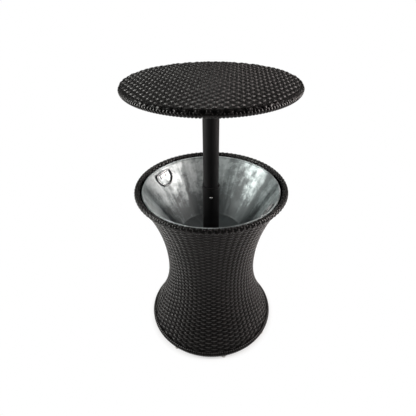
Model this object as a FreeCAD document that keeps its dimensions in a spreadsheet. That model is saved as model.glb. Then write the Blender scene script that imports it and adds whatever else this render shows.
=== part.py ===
import FreeCAD, Part
import math
import os
import re
import Sketcher
from FreeCAD import Placement, Rotation, Vector

# A round patio table that is also a drinks cooler. A woven hourglass stand on a steel frame holds
# a galvanised bucket, and the round woven top is a lid on a telescoping mast that rises out of it.
# Millimetres, +Z up, the origin on the floor at the middle of the foot.
# The top stands raised, the mast's snap button in its hole, as the table is used.

SIZES = [
    # The whole table
    ("rim_radius", 230.0, "outermost radius of the woven rim and of the top that closes it"),
    ("rim_height", 560.0, "floor to the top of the rim"),
    ("foot_inset", 5.2, "how far the foot lies inside the rim"),
    ("waist_radius", 148.5, "outer radius of the weave at the waist"),
    ("waist_height", 258.0, "floor to the waist"),
    ("foot_straight", 82.3, "length of the straight stretch of weave above the foot"),
    ("table_height", 862.0, "floor to the top of the raised table top"),
    # Fits
    ("fit_gap", 0.3, "clearance between pieces that only lie close"),
    ("running_gap", 0.1, "radial clearance of a running fit"),
    ("weld_gap", 0.05, "gap at a weld between two round rods"),
    ("hole_gap", 0.4, "radial clearance of a screw, bolt or button in its hole"),
    ("cut_margin", 1.0, "how far a cut runs past what it cuts"),
    # Wicker
    ("wrap_radius", 8.8, "radius of the wrapped rim and foot rolls"),
    ("wrap_thickness", 2.3, "wicker wrapped round the rim and foot ring tubes"),
    ("table_wrap_radius", 11.0, "radius of the table top's wrapped edge"),
    ("table_wrap_thickness", 3.0, "wicker wrapped round the table top's ring tube"),
    ("weave_thickness", 3.5, "thickness of the woven stand"),
    ("panel_thickness", 3.5, "thickness of the woven table top"),
    ("panel_drop", 1.0, "edge roll's top down to the woven panel"),
    # Stand frame
    ("tube_wall", 1.2, "wall of the ring tubes"),
    ("vent_radius", 1.5, "radius of the vent hole in each ring tube"),
    ("rib_radius", 3.0, "radius of the bent ribs"),
    ("rib_count", 8, "number of ribs"),
    ("hoop_rod_radius", 3.0, "radius of the waist hoop and the cradle hoop"),
    ("cradle_thickness", 4.0, "thickness of the cradle's seat ring and arms"),
    ("cradle_margin", 4.0, "cradle's seat ring in from the edge of the bucket's floor"),
    ("cradle_clearance", 12.0, "gap between the sleeve's flange and the cradle's seat ring"),
    ("cradle_arm_width", 20.0, "width of each cradle arm"),
    ("cradle_arm_count", 4, "number of cradle arms, and of buffers between them"),
    ("buffer_radius", 8.0, "radius of each rubber buffer"),
    ("buffer_height", 3.8, "height of each rubber buffer"),
    ("seat_gap", 0.2, "gap that the lift-out bucket leaves on its buffers"),
    ("cross_bar_width", 25.0, "width of the foot cross bars"),
    ("cross_bar_thickness", 5.0, "thickness of the foot cross bars"),
    ("cross_azimuth", 22.5, "direction of the first foot cross bar from +X, in degrees"),
    ("hub_wall", 3.0, "wall of the guide hub on the foot cross"),
    ("hub_height", 40.0, "height of the guide hub above the cross bars"),
    ("guide_wall", 2.5, "wall of the guide bush in the hub"),
    ("guide_lip", 2.0, "thickness of the guide bush's lip"),
    ("glide_radius", 9.0, "radius of each foot glide"),
    ("glide_height", 3.0, "floor to the underside of the foot roll"),
    ("glide_saddle", 4.0, "height that a glide rises beside the foot roll"),
    ("glide_count", 8, "number of foot glides"),
    ("glide_azimuth", 11.25, "direction of the first foot glide from +X, in degrees"),
    # Bucket
    ("bucket_floor_radius", 102.0, "outer radius of the bucket at its floor"),
    ("bucket_clearance", 6.4, "rim's inner edge in to the bucket's wall, under the bead"),
    ("bucket_drop", 12.0, "top of the rim down to the middle of the bucket's bead"),
    ("bucket_depth", 170.0, "middle of the bead down to the inside of the bucket's floor"),
    ("bucket_wall", 0.9, "thickness of the bucket's sheet"),
    ("bead_radius", 3.0, "radius of the rolled bead"),
    ("floor_fillet", 6.0, "inner radius where the bucket's floor meets its wall"),
    # Sleeve and its fastening
    ("sleeve_radius", 26.0, "outer radius of the sleeve"),
    ("sleeve_wall", 1.5, "wall of the sleeve"),
    ("sleeve_drop", 5.0, "top of the rim down to the sleeve's top end"),
    ("sleeve_foot_gap", 9.7, "foot cross bars up to the sleeve's lower end"),
    ("flange_margin", 14.0, "circle of flange bolts out to the flange's edge"),
    ("flange_thickness", 4.0, "thickness of the flange"),
    ("seal_thickness", 2.0, "thickness of the rubber seal under the bucket's floor"),
    ("bolt_inset", 18.0, "sleeve's outside out to the circle of flange bolts"),
    ("bolt_count", 4, "number of flange bolts"),
    ("bolt_radius", 3.0, "radius of the flange bolts"),
    ("bolt_head_radius", 7.0, "radius of a flange bolt's round head"),
    ("bolt_head_height", 3.6, "height of a flange bolt's round head"),
    ("bolt_stub", 3.0, "length of bolt that shows under its nut"),
    ("nut_width", 10.0, "width across a nut's flats"),
    ("nut_height", 5.0, "height of a nut"),
    ("collar_length", 18.0, "length of the collar bush inside the sleeve"),
    ("collar_lip", 2.5, "thickness of the collar bush's lip"),
    ("collar_wall", 1.35, "wall of the collar bush between the sleeve and the mast"),
    # Mast
    ("mast_wall", 1.5, "wall of the mast tube"),
    ("mast_overlap", 155.0, "length of mast left in the sleeve when it is raised"),
    ("slider_height", 12.0, "height of the plastic slider under the mast tube"),
    ("slider_plug", 15.0, "length of slider inside the mast tube"),
    ("slider_wall", 4.0, "wall of the slider's plug"),
    ("plate_margin", 15.0, "circle of plate screws out to the plate's edge"),
    ("mast_plate_thickness", 4.0, "thickness of the plate on top of the mast"),
    ("screw_inset", 17.0, "mast's outside out to the circle of plate screws"),
    ("screw_radius", 3.0, "radius of the plate screws"),
    ("screw_head_width", 10.0, "width across the flats of a plate screw's head"),
    ("screw_head_height", 4.0, "height of a plate screw's head"),
    # Snap button
    ("button_drop", 11.5, "collar bush's lower end down to the snap button"),
    ("button_radius", 4.0, "radius of the snap button"),
    ("button_stand", 3.0, "how far the snap button stands out of the sleeve"),
    ("button_dome", 2.0, "height of the snap button's dome"),
    ("button_flange", 1.4, "how far the button's flange is wider than its shank"),
    ("button_flange_thickness", 0.8, "thickness of the button's flange"),
    ("spring_sheet", 0.8, "thickness of the leaf spring"),
    ("spring_width", 8.0, "width of the leaf spring"),
    ("spring_depth", 48.0, "how far the leaf spring's bend lies under the button"),
    ("spring_rise", 6.0, "how far the leaf spring reaches above the button"),
    # Table top
    ("table_bar_width", 25.0, "width of the table top's cross bars"),
    ("table_bar_thickness", 5.0, "thickness of the table top's cross bars"),
    # Bail handles
    ("handle_azimuth", 146.0, "direction of the first handle from +X, in degrees"),
    ("handle_drop", 8.0, "bead's middle down to the handle's pivot"),
    ("handle_standoff", 6.2, "bucket's wall to the middle of the handle's bar"),
    ("handle_lean", 1.0, "angle between the resting handle and the wall, in degrees"),
    ("handle_half_width", 33.0, "half the width of the handle, at its wire's middle"),
    ("handle_side", 12.0, "pivot down to where the handle's bow begins"),
    ("handle_corner", 7.0, "radius of the handle's upper corners, at the wire's middle"),
    ("wire_radius", 3.0, "radius of the handle's wire"),
    ("strap_half_width", 14.0, "half the width of the strap that holds a handle"),
    ("strap_sheet", 1.5, "thickness of the strap's sheet"),
    ("strap_length", 19.0, "pivot down to the strap's lower edge"),
    ("strap_stand", 0.6, "wall to the back of the strap at its middle"),
    ("rivet_drop", 12.5, "pivot down to the rivets"),
    ("rivet_side", 8.5, "strap's middle across to each rivet"),
    ("rivet_radius", 2.0, "radius of a rivet's shank"),
    ("rivet_head_radius", 3.6, "radius of a rivet's head"),
    ("rivet_head_height", 1.6, "height of a rivet's head"),
    ("rivet_crown_radius", 1.8, "radius of the flat on a rivet's head"),
    ("rivet_tail_radius", 2.9, "radius of a rivet's flat tail"),
    ("rivet_tail_height", 0.8, "height of a rivet's flat tail"),
]

# Places that follow from the sizes, written as the sheet's own expressions
RIM_RING_RADIUS = "(rim_radius - wrap_radius)"
RIM_RING_HEIGHT = "(rim_height - wrap_radius)"
RING_TUBE_RADIUS = "(wrap_radius - wrap_thickness)"
FOOT_RING_RADIUS = "(rim_radius - foot_inset - wrap_radius)"
FOOT_RING_HEIGHT = "(glide_height + wrap_radius)"
WEAVE_TOP = f"({RIM_RING_HEIGHT} - wrap_radius - fit_gap)"
WEAVE_BOTTOM = f"({FOOT_RING_HEIGHT} + wrap_radius + fit_gap)"

UPPER_RISE = f"({WEAVE_TOP} - waist_height)"
UPPER_SPREAD = f"({RIM_RING_RADIUS} - waist_radius)"
UPPER_FLARE = f"(({UPPER_RISE}^2 + {UPPER_SPREAD}^2) / (2 * {UPPER_SPREAD}))"
LOWER_RISE = f"(waist_height - {WEAVE_BOTTOM})"
LOWER_SPREAD = f"({FOOT_RING_RADIUS} - waist_radius)"
LOWER_FLARE = (f"(({LOWER_RISE}^2 + {LOWER_SPREAD}^2 - foot_straight^2)"
               f" / (2 * {LOWER_SPREAD}))")
FOOT_ACROSS = f"({LOWER_FLARE} - {LOWER_SPREAD})"
FOOT_REACH = f"sqrt({FOOT_ACROSS}^2 + {LOWER_RISE}^2)"
FOOT_SLOPE = f"(atan({LOWER_RISE} / {FOOT_ACROSS}) + asin({LOWER_FLARE} / {FOOT_REACH}))"

CROSS_TOP = f"({FOOT_RING_HEIGHT} + cross_bar_thickness / 2)"
RIB_INSET = "(weave_thickness + fit_gap + rib_radius)"
RIB_BOTTOM = f"({CROSS_TOP} + rib_radius / 2)"
HUB_BORE = "(sleeve_radius + running_gap + guide_wall)"
HUB_TOP = f"({CROSS_TOP} + hub_height)"

BUCKET_TOP_RADIUS = "(rim_radius - 2 * wrap_radius - bucket_clearance)"
BUCKET_TOP = "(rim_height - bucket_drop)"
BUCKET_FLOOR = f"({BUCKET_TOP} - bucket_depth)"
FLOOR_UNDERSIDE = f"({BUCKET_FLOOR} - bucket_wall)"
BUCKET_FLARE = f"(({BUCKET_TOP_RADIUS} - bucket_floor_radius) / ({BUCKET_TOP} - {FLOOR_UNDERSIDE}))"
BUCKET_SLOPE = f"atan({BUCKET_FLARE})"
WALL_ACROSS = f"(bucket_wall / cos({BUCKET_SLOPE}))"

BOLT_CIRCLE = "(sleeve_radius + bolt_inset)"
FLANGE_RADIUS = f"({BOLT_CIRCLE} + flange_margin)"
SEAL_BOTTOM = f"({FLOOR_UNDERSIDE} - seal_thickness)"
FLANGE_BOTTOM = f"({SEAL_BOTTOM} - flange_thickness)"
SLEEVE_TOP = "(rim_height - sleeve_drop)"
SLEEVE_BOTTOM = f"({CROSS_TOP} + sleeve_foot_gap)"

CRADLE_OUTER = "(bucket_floor_radius - cradle_margin)"
CRADLE_INNER = f"({FLANGE_RADIUS} + cradle_clearance)"
CRADLE_MIDDLE = f"(({CRADLE_INNER} + {CRADLE_OUTER}) / 2)"
CRADLE_TOP = f"({FLOOR_UNDERSIDE} - seat_gap - buffer_height)"
CRADLE_HEIGHT = f"({CRADLE_TOP} - cradle_thickness / 2)"

MAST_RADIUS = "(sleeve_radius - sleeve_wall - weld_gap - collar_wall - running_gap)"
MAST_BORE = f"({MAST_RADIUS} - mast_wall)"
MAST_BOTTOM = f"({SLEEVE_TOP} - mast_overlap)"
SCREW_CIRCLE = f"({MAST_RADIUS} + screw_inset)"
TABLE_RING_RADIUS = "(rim_radius - table_wrap_radius)"
TABLE_RING_HEIGHT = "(table_height - table_wrap_radius)"
TABLE_TUBE_RADIUS = "(table_wrap_radius - table_wrap_thickness)"
PANEL_BOTTOM = "(table_height - panel_drop - panel_thickness)"
BAR_TOP = f"({PANEL_BOTTOM} - fit_gap)"
BAR_MIDDLE = f"({BAR_TOP} - table_bar_thickness / 2)"
BAR_BOTTOM = f"({BAR_TOP} - table_bar_thickness)"
PLATE_BOTTOM = f"({BAR_BOTTOM} - mast_plate_thickness)"

BUTTON_HEIGHT = f"({SLEEVE_TOP} - collar_length - button_drop)"
BUTTON_SEAT = f"({MAST_BORE} - 2 * button_flange_thickness)"
BUTTON_TIP = "(sleeve_radius + button_stand)"

STRAP_BACK = "(strap_stand - handle_standoff)"
RIVET_FACE = f"({STRAP_BACK} + 2 * strap_sheet)"
RIVET_BACK = "(-handle_standoff - bucket_wall)"
RIVET_LENGTH = f"({RIVET_FACE} - {RIVET_BACK})"

# Crossed bars have four arms, and each arm of the table top's takes one plate screw
CROSSED_ARMS = "4"

document = FreeCAD.newDocument("CoolerTable")
sheet = document.addObject("Spreadsheet::Sheet", "Sizes")
for row, (alias, amount, meaning) in enumerate(SIZES, start=1):
    sheet.set(f"A{row}", meaning)
    sheet.set(f"B{row}", str(amount))
    sheet.setAlias(f"B{row}", alias)
document.recompute()
ALIASES = re.compile(r"\b(" + "|".join(alias for alias, _, _ in SIZES) + r")\b")


def formula(text):
    """Point the aliases in an expression at the sheet"""
    return ALIASES.sub(r"Sizes.\1", str(text))


def number(text):
    """What an expression on the sheet comes to"""
    return float(sheet.evalExpression(formula(text)))


def bind(thing, path, text):
    thing.setExpression(path, formula(text))


# Bodies and sketches

def new_body(label):
    body = document.addObject("PartDesign::Body", label)
    body.Label = label
    return body


def new_sketch(body, name, plane="XZ_Plane", height=None):
    """A sketch on one of the body's own origin planes, raised to a height if one is given"""
    sketch = body.newObject("Sketcher::SketchObject", name)
    support = next(item for item in body.Origin.OriginFeatures if item.Role == plane)
    sketch.AttachmentSupport = [(support, "")]
    sketch.MapMode = "FlatFace"
    if height is not None:
        bind(sketch, "AttachmentOffset.Base.z", height)
    return sketch


def hold(sketch, kind, geometry, point, text):
    """Hold a point at a distance from the sketch's origin along X or Y"""
    amount = number(text)
    if amount < 0:
        constraint = Sketcher.Constraint(kind, geometry, point, -1, 1, -amount)
        text = f"-({text})"
    else:
        constraint = Sketcher.Constraint(kind, -1, 1, geometry, point, amount)
    index = sketch.addConstraint(constraint)
    bind(sketch, f"Constraints[{index}]", text)


def pin(sketch, geometry, point, across, along):
    hold(sketch, "DistanceX", geometry, point, across)
    hold(sketch, "DistanceY", geometry, point, along)


def set_radius(sketch, geometry, text):
    index = sketch.addConstraint(Sketcher.Constraint("Radius", geometry, number(text)))
    bind(sketch, f"Constraints[{index}]", text)


def draw_outline(sketch, corners, domes=None):
    """A closed outline, anticlockwise through corners given as pairs of expressions.

    Its edges are straight, apart from those in domes, which bulge outwards: domes holds
    the radius of each by the number of the corner that it begins at."""
    domes = domes or {}
    places = [Vector(number(across), number(along), 0) for across, along in corners]
    first = sketch.GeometryCount
    for index, start in enumerate(places):
        end = places[(index + 1) % len(places)]
        edge = Part.LineSegment(start, end)
        if index in domes:
            edge = Part.Arc(start, bulge_middle(start, end, number(domes[index])), end)
        sketch.addGeometry(edge, False)
    for index, (across, along) in enumerate(corners):
        following = (index + 1) % len(corners)
        joint = Sketcher.Constraint("Coincident", first + index, 2, first + following, 1)
        sketch.addConstraint(joint)
        pin(sketch, first + index, 1, across, along)
        if index in domes:
            set_radius(sketch, first + index, domes[index])


def bulge_middle(start, end, radius):
    """The middle of an arc from start to end that bulges to the right of its way"""
    chord = end - start
    rise = radius - math.sqrt(radius ** 2 - (chord.Length / 2) ** 2)
    outwards = Vector(chord.y, -chord.x, 0).normalize()
    return (start + end) * 0.5 + outwards * rise


def dome_radius(half_width, rise):
    """Expression for the radius of a dome of the given half width and rise"""
    return f"(({half_width}^2 + {rise}^2) / (2 * {rise}))"


def draw_circle(sketch, across, along, radius):
    centre = Vector(number(across), number(along), 0)
    index = sketch.addGeometry(Part.Circle(centre, Vector(0, 0, 1), number(radius)), False)
    set_radius(sketch, index, radius)
    pin(sketch, index, 3, across, along)


def draw_rectangle(sketch, left, right, low, high):
    draw_outline(sketch, [(left, low), (right, low), (right, high), (left, high)])


def draw_hexagon(sketch, across, flats):
    """A hexagon of the given width across its flats, centred on the sketch's X axis"""
    corner = f"({flats} / (2 * cos(30 deg)))"
    corners = []
    for turn in range(6):
        angle = f"{60 * turn} deg"
        corners.append((f"{across} + {corner} * cos({angle})", f"{corner} * sin({angle})"))
    draw_outline(sketch, corners)


# Features

def revolve(body, sketch, name, cut=False, axis="V_Axis"):
    kind = "PartDesign::Groove" if cut else "PartDesign::Revolution"
    feature = body.newObject(kind, name)
    feature.Profile = sketch
    feature.ReferenceAxis = (sketch, [axis])
    feature.Angle = 360
    return feature


def add_axis(sketch, along):
    """A construction line from the outline's first corner, to turn the outline about"""
    corner = sketch.getPoint(0, 1)
    line = sketch.addGeometry(Part.LineSegment(corner, corner + along), True)
    kind = "Vertical" if along.x == 0 else "Horizontal"
    sketch.addConstraint(Sketcher.Constraint(kind, line))
    sketch.addConstraint(Sketcher.Constraint("Coincident", line, 1, 0, 1))


def pad(body, sketch, name, length, downwards=False):
    feature = body.newObject("PartDesign::Pad", name)
    feature.Profile = sketch
    bind(feature, "Length", length)
    feature.Reversed = downwards
    return feature


def pocket(body, sketch, name, length, upwards=False):
    feature = body.newObject("PartDesign::Pocket", name)
    feature.Profile = sketch
    bind(feature, "Length", length)
    feature.Reversed = upwards
    return feature


def repeat(body, sketch, features, name, count):
    """Copy features round the body's Z axis"""
    pattern = body.newObject("PartDesign::PolarPattern", name)
    pattern.Originals = features
    pattern.Axis = (sketch, ["N_Axis"])
    pattern.Angle = 360
    bind(pattern, "Occurrences", count)
    body.Tip = pattern
    return pattern


def turned(label, corners):
    """A body of revolution about Z, from an outline of radii and heights"""
    body = new_body(label)
    sketch = new_sketch(body, f"{label}_outline")
    draw_outline(sketch, corners)
    revolve(body, sketch, f"{label}_turned")
    return body


def disc(label, bottom, thickness, outer, inner=None):
    """A flat round plate, with a middle hole if its radius is given"""
    body = new_body(label)
    sketch = new_sketch(body, f"{label}_outline", "XY_Plane", bottom)
    draw_circle(sketch, "0", "0", outer)
    if inner is not None:
        draw_circle(sketch, "0", "0", inner)
    pad(body, sketch, f"{label}_pad", thickness)
    return body


def drill_circle(body, label, top, depth, circle, radius, count):
    """Holes down from a height, evenly round the Z axis"""
    before = solid_volume(body)
    sketch = new_sketch(body, f"{label}_hole", "XY_Plane", top)
    draw_circle(sketch, circle, "0", radius)
    hole = pocket(body, sketch, f"{label}_drilled", depth)
    repeat(body, sketch, [hole], f"{label}_holes", count)
    check_cut(body, before)


def crossed_bars(body, label, bottom, reach, width, thickness):
    """Two flat bars that cross at the middle and are one piece there"""
    half = f"({width} / 2)"
    for name, across, along in (("long", reach, half), ("short", half, reach)):
        sketch = new_sketch(body, f"{label}_{name}_outline", "XY_Plane", bottom)
        draw_rectangle(sketch, f"-{across}", across, f"-{along}", along)
        pad(body, sketch, f"{label}_{name}", thickness)


def cope(body, label, *rings):
    """Cut away the room of ring tubes, given as radius, height and tube radius"""
    before = solid_volume(body)
    sketch = new_sketch(body, f"{label}_cope")
    for radius, height, tube in rings:
        draw_circle(sketch, radius, height, f"{tube} + weld_gap")
    revolve(body, sketch, f"{label}_coped", cut=True)
    check_cut(body, before)


def solid_volume(body):
    document.recompute()
    return body.Shape.Volume


def check_cut(body, before):
    """Stop if the last cut took nothing away"""
    smallest_cut = 1.0
    if not solid_volume(body) < before - smallest_cut:
        raise RuntimeError(f"a cut in {body.Label} removes nothing")


def spin(azimuth):
    """A turn about the table's own axis"""
    return Placement(Vector(), Rotation(Vector(0, 0, 1), azimuth))


# The hourglass profile of the stand

def flare_points(inset, low, high):
    """Points of the stand's profile, moved inwards by inset, from a low to a high level.

    The profile is a straight line from the foot, tangent to the lower arc, which meets
    the upper arc at the waist with both upright there."""
    lower_flare = number(LOWER_FLARE)
    waist = number("waist_height")
    lower_centre = Vector(number("waist_radius") + lower_flare, waist, 0)
    upper_centre = Vector(number("waist_radius") + number(UPPER_FLARE), waist, 0)
    upper = number(UPPER_FLARE) + inset
    slope = foot_slope()
    direction = Vector(math.cos(slope), math.sin(slope), 0)
    inwards = Vector(-direction.y, direction.x, 0)
    tangent = lower_centre + inwards * (lower_flare + inset)
    return {
        "start": tangent + direction * ((low - tangent.y) / direction.y),
        "tangent": tangent,
        "waist": Vector(upper_centre.x - upper, waist, 0),
        "end": Vector(upper_centre.x - math.sqrt(upper ** 2 - (high - waist) ** 2), high, 0),
        "lower_centre": lower_centre,
        "upper_centre": upper_centre,
    }


def foot_slope():
    """Direction of the straight foot line, from outwards through upwards, in radians"""
    return math.radians(number(f"{FOOT_SLOPE} / 1 deg"))


def arc_middle(centre, waist, far_end):
    """The point halfway along an arc that begins at the waist, left of its centre"""
    radius = centre.x - waist.x
    angle = math.asin((far_end.y - waist.y) / radius) / 2
    return Vector(centre.x - radius * math.cos(angle), waist.y + radius * math.sin(angle), 0)


def draw_flare(sketch, inset, low, high):
    """Draw the profile at an inset, as a line and two arcs, and give their three numbers"""
    points = flare_points(number(inset), number(low), number(high))
    waist = points["waist"]
    line = sketch.addGeometry(Part.LineSegment(points["start"], points["tangent"]), False)
    lower_middle = arc_middle(points["lower_centre"], waist, points["tangent"])
    lower = sketch.addGeometry(Part.Arc(points["tangent"], lower_middle, waist), False)
    upper_middle = arc_middle(points["upper_centre"], waist, points["end"])
    upper = sketch.addGeometry(Part.Arc(waist, upper_middle, points["end"]), False)
    return line, lower, upper


def arc_ends(sketch, geometry):
    """Which point number of an arc is its lower end, and which its upper end"""
    start = sketch.getPoint(geometry, 1)
    end = sketch.getPoint(geometry, 2)
    return (1, 2) if start.y < end.y else (2, 1)


def hold_flare(sketch, flare, inset, low, high):
    """Constrain a drawn profile, so that it follows the sheet"""
    line, lower, upper = flare
    lower_low, lower_high = arc_ends(sketch, lower)
    upper_low, upper_high = arc_ends(sketch, upper)
    sketch.addConstraint(Sketcher.Constraint("Tangent", line, 2, lower, lower_low))
    sketch.addConstraint(Sketcher.Constraint("Tangent", lower, lower_high, upper, upper_low))
    set_radius(sketch, lower, f"{LOWER_FLARE} + {inset}")
    pin(sketch, lower, 3, f"waist_radius + {LOWER_FLARE}", "waist_height")
    pin(sketch, upper, 3, f"waist_radius + {UPPER_FLARE}", "waist_height")
    hold(sketch, "DistanceY", upper, upper_high, high)
    hold(sketch, "DistanceY", line, 1, low)
    turn = sketch.addConstraint(Sketcher.Constraint("Angle", line, foot_slope()))
    bind(sketch, f"Constraints[{turn}]", FOOT_SLOPE)


def flare_radius(inset, height):
    """Expression for the radius of the upper profile at a height, moved inwards by inset"""
    across = f"sqrt(({UPPER_FLARE} + {inset})^2 - ({height} - waist_height)^2)"
    return f"(waist_radius + {UPPER_FLARE} - {across})"


# The stand's frame

def ring_tube(label, radius, height, tube):
    """A ring of round tube, with a vent hole drilled down into it where no rib meets it"""
    body = new_body(label)
    section = new_sketch(body, f"{label}_section")
    draw_circle(section, radius, height, tube)
    draw_circle(section, radius, height, f"{tube} - tube_wall")
    revolve(body, section, f"{label}_turned")
    before = solid_volume(body)
    vent = new_sketch(body, f"{label}_vent", "XY_Plane", height)
    between_ribs = "(90 deg / rib_count)"
    draw_circle(vent, f"{radius} * cos({between_ribs})", f"{radius} * sin({between_ribs})",
                "vent_radius")
    pocket(body, vent, f"{label}_vented", tube, upwards=True)
    check_cut(body, before)
    return body


def rib(label, rod_radius, azimuth, rings):
    """A bent rod along the inside of the weave, coped where it meets the rings it joins"""
    body = new_body(label)
    spine = new_sketch(body, f"{label}_spine")
    flare = draw_flare(spine, RIB_INSET, RIB_BOTTOM, RIM_RING_HEIGHT)
    hold_flare(spine, flare, RIB_INSET, RIB_BOTTOM, RIM_RING_HEIGHT)
    start = flare_points(number(RIB_INSET), number(RIB_BOTTOM), number(RIM_RING_HEIGHT))["start"]
    section = new_sketch(body, f"{label}_section", "XY_Plane")
    lean = Rotation(Vector(0, 1, 0), 90 - math.degrees(foot_slope()))
    section.AttachmentOffset = Placement(Vector(start.x, 0, start.y), lean)
    draw_circle(section, "0", "0", rod_radius)
    bent = body.newObject("PartDesign::AdditivePipe", f"{label}_bent")
    bent.Profile = section
    bent.Spine = (spine, [])
    if rings:
        cope(body, label, *rings)
    body.Placement = spin(azimuth)
    return body


def build_ribs(name, rod_radius, *rings):
    count = int(number("rib_count"))
    return [rib(f"{name}_{index + 1}", rod_radius, 360 * index / count, rings)
            for index in range(count)]


def build_waist_hoop():
    """A rod ring inside the ribs at the waist"""
    hoop = document.addObject("Part::Torus", "waist_hoop")
    bind(hoop, "Radius1", f"waist_radius - {RIB_INSET} - rib_radius - weld_gap - hoop_rod_radius")
    bind(hoop, "Radius2", "hoop_rod_radius")
    bind(hoop, "Placement.Base.z", "waist_height")
    return hoop


def build_cradle():
    """A seat ring for the bucket on four arms, welded to a hoop inside the ribs"""
    body = new_body("bucket_cradle")
    bottom = f"({CRADLE_TOP} - cradle_thickness)"
    inside_ribs = flare_radius(f"({RIB_INSET} + rib_radius)", CRADLE_HEIGHT)
    hoop_radius = f"({inside_ribs} - hoop_rod_radius - weld_gap)"
    seat = new_sketch(body, "cradle_seat", "XY_Plane", bottom)
    draw_circle(seat, "0", "0", CRADLE_OUTER)
    draw_circle(seat, "0", "0", CRADLE_INNER)
    pad(body, seat, "cradle_seat_ring", "cradle_thickness")
    arm = new_sketch(body, "cradle_arm", "XY_Plane", bottom)
    draw_rectangle(arm, CRADLE_MIDDLE, hoop_radius, "-cradle_arm_width / 2", "cradle_arm_width / 2")
    arm_pad = pad(body, arm, "cradle_arm_bar", "cradle_thickness")
    repeat(body, arm, [arm_pad], "cradle_arms", "cradle_arm_count")
    hoop = new_sketch(body, "cradle_hoop")
    draw_circle(hoop, hoop_radius, CRADLE_HEIGHT, "hoop_rod_radius")
    revolve(body, hoop, "cradle_hoop_rod")
    body.Placement = spin(180 / number("cradle_arm_count"))
    return body


def build_buffers():
    """Rubber buffers that the bucket's floor stands on, between the cradle's arms"""
    body = new_body("cradle_buffers")
    sketch = new_sketch(body, "buffer_outline", "XY_Plane", CRADLE_TOP)
    draw_circle(sketch, CRADLE_MIDDLE, "0", "buffer_radius")
    buffer = pad(body, sketch, "buffer", "buffer_height")
    repeat(body, sketch, [buffer], "buffers", "cradle_arm_count")
    return body


def build_foot_cross():
    """Two crossed bars in the foot ring, with the hub that steadies the sleeve"""
    body = new_body("foot_cross")
    bottom = f"({CROSS_TOP} - cross_bar_thickness)"
    crossed_bars(body, "cross_bar", bottom, FOOT_RING_RADIUS, "cross_bar_width", "cross_bar_thickness")
    hub = new_sketch(body, "hub_outline", "XY_Plane", CROSS_TOP)
    draw_circle(hub, "0", "0", f"{HUB_BORE} + hub_wall")
    draw_circle(hub, "0", "0", HUB_BORE)
    pad(body, hub, "hub", "hub_height")
    cope(body, "cross", (FOOT_RING_RADIUS, FOOT_RING_HEIGHT, RING_TUBE_RADIUS))
    trim_ends(body, bottom)
    body.Placement = spin(number("cross_azimuth"))
    return body


def trim_ends(body, bottom):
    """Cut away what the cope leaves of the bars beyond the middle of the ring tube"""
    before = solid_volume(body)
    scrap = new_sketch(body, "cross_scrap", "XY_Plane", bottom)
    draw_circle(scrap, "0", "0", f"{FOOT_RING_RADIUS} + cross_bar_width")
    draw_circle(scrap, "0", "0", FOOT_RING_RADIUS)
    pocket(body, scrap, "cross_trimmed", "cross_bar_thickness", upwards=True)
    if solid_volume(body) > before:
        raise RuntimeError("trimming the cross bars added to them")


def build_guide_bush():
    bore = "(sleeve_radius + running_gap)"
    low = f"({CROSS_TOP} + fit_gap)"
    return turned("guide_bush", [
        (bore, low),
        (HUB_BORE, low),
        (HUB_BORE, HUB_TOP),
        (f"{HUB_BORE} + hub_wall", HUB_TOP),
        (f"{HUB_BORE} + hub_wall", f"{HUB_TOP} + guide_lip"),
        (bore, f"{HUB_TOP} + guide_lip"),
    ])


def build_glides():
    """Plastic glides, each with a saddle that the foot roll sits in"""
    body = new_body("foot_glides")
    sketch = new_sketch(body, "glide_outline", "XY_Plane")
    draw_circle(sketch, FOOT_RING_RADIUS, "0", "glide_radius")
    glide = pad(body, sketch, "glide", "glide_height + glide_saddle")
    repeat(body, sketch, [glide], "glides", "glide_count")
    saddle = new_sketch(body, "glide_saddle_section")
    draw_circle(saddle, FOOT_RING_RADIUS, FOOT_RING_HEIGHT, "wrap_radius")
    before = solid_volume(body)
    revolve(body, saddle, "glide_saddles", cut=True)
    check_cut(body, before)
    body.Placement = spin(number("glide_azimuth"))
    return body


# The stand's wicker

def build_stand_weave():
    """The woven hourglass, drawn as a shell as thick as its weave"""
    body = new_body("stand_weave")
    sketch = new_sketch(body, "weave_section")
    faces = []
    for inset in ("0", "weave_thickness"):
        flare = draw_flare(sketch, inset, WEAVE_BOTTOM, WEAVE_TOP)
        hold_flare(sketch, flare, inset, WEAVE_BOTTOM, WEAVE_TOP)
        faces.append(flare)
    bottoms = [(line, 1) for line, _, _ in faces]
    tops = [(upper, arc_ends(sketch, upper)[1]) for _, _, upper in faces]
    for ends in (bottoms, tops):
        start, finish = (sketch.getPoint(*end) for end in ends)
        edge = sketch.addGeometry(Part.LineSegment(start, finish), False)
        sketch.addConstraint(Sketcher.Constraint("Coincident", edge, 1, *ends[0]))
        sketch.addConstraint(Sketcher.Constraint("Coincident", edge, 2, *ends[1]))
    revolve(body, sketch, "weave_turned")
    return body


def roll(label, radius, height, wrap, tube, room):
    """A wrapped roll round a ring tube, with room cut for the rods or bars that pass through it"""
    shell = new_body(f"{label}_shell")
    section = new_sketch(shell, f"{label}_section")
    draw_circle(section, radius, height, wrap)
    draw_circle(section, radius, height, f"{tube} + weld_gap")
    revolve(shell, section, f"{label}_turned")
    tools = document.addObject("Part::Compound", f"{label}_room")
    tools.Links = room
    wrapped = document.addObject("Part::Cut", label)
    wrapped.Base = shell
    wrapped.Tool = tools
    wrapped.Label = label
    return wrapped


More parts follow.
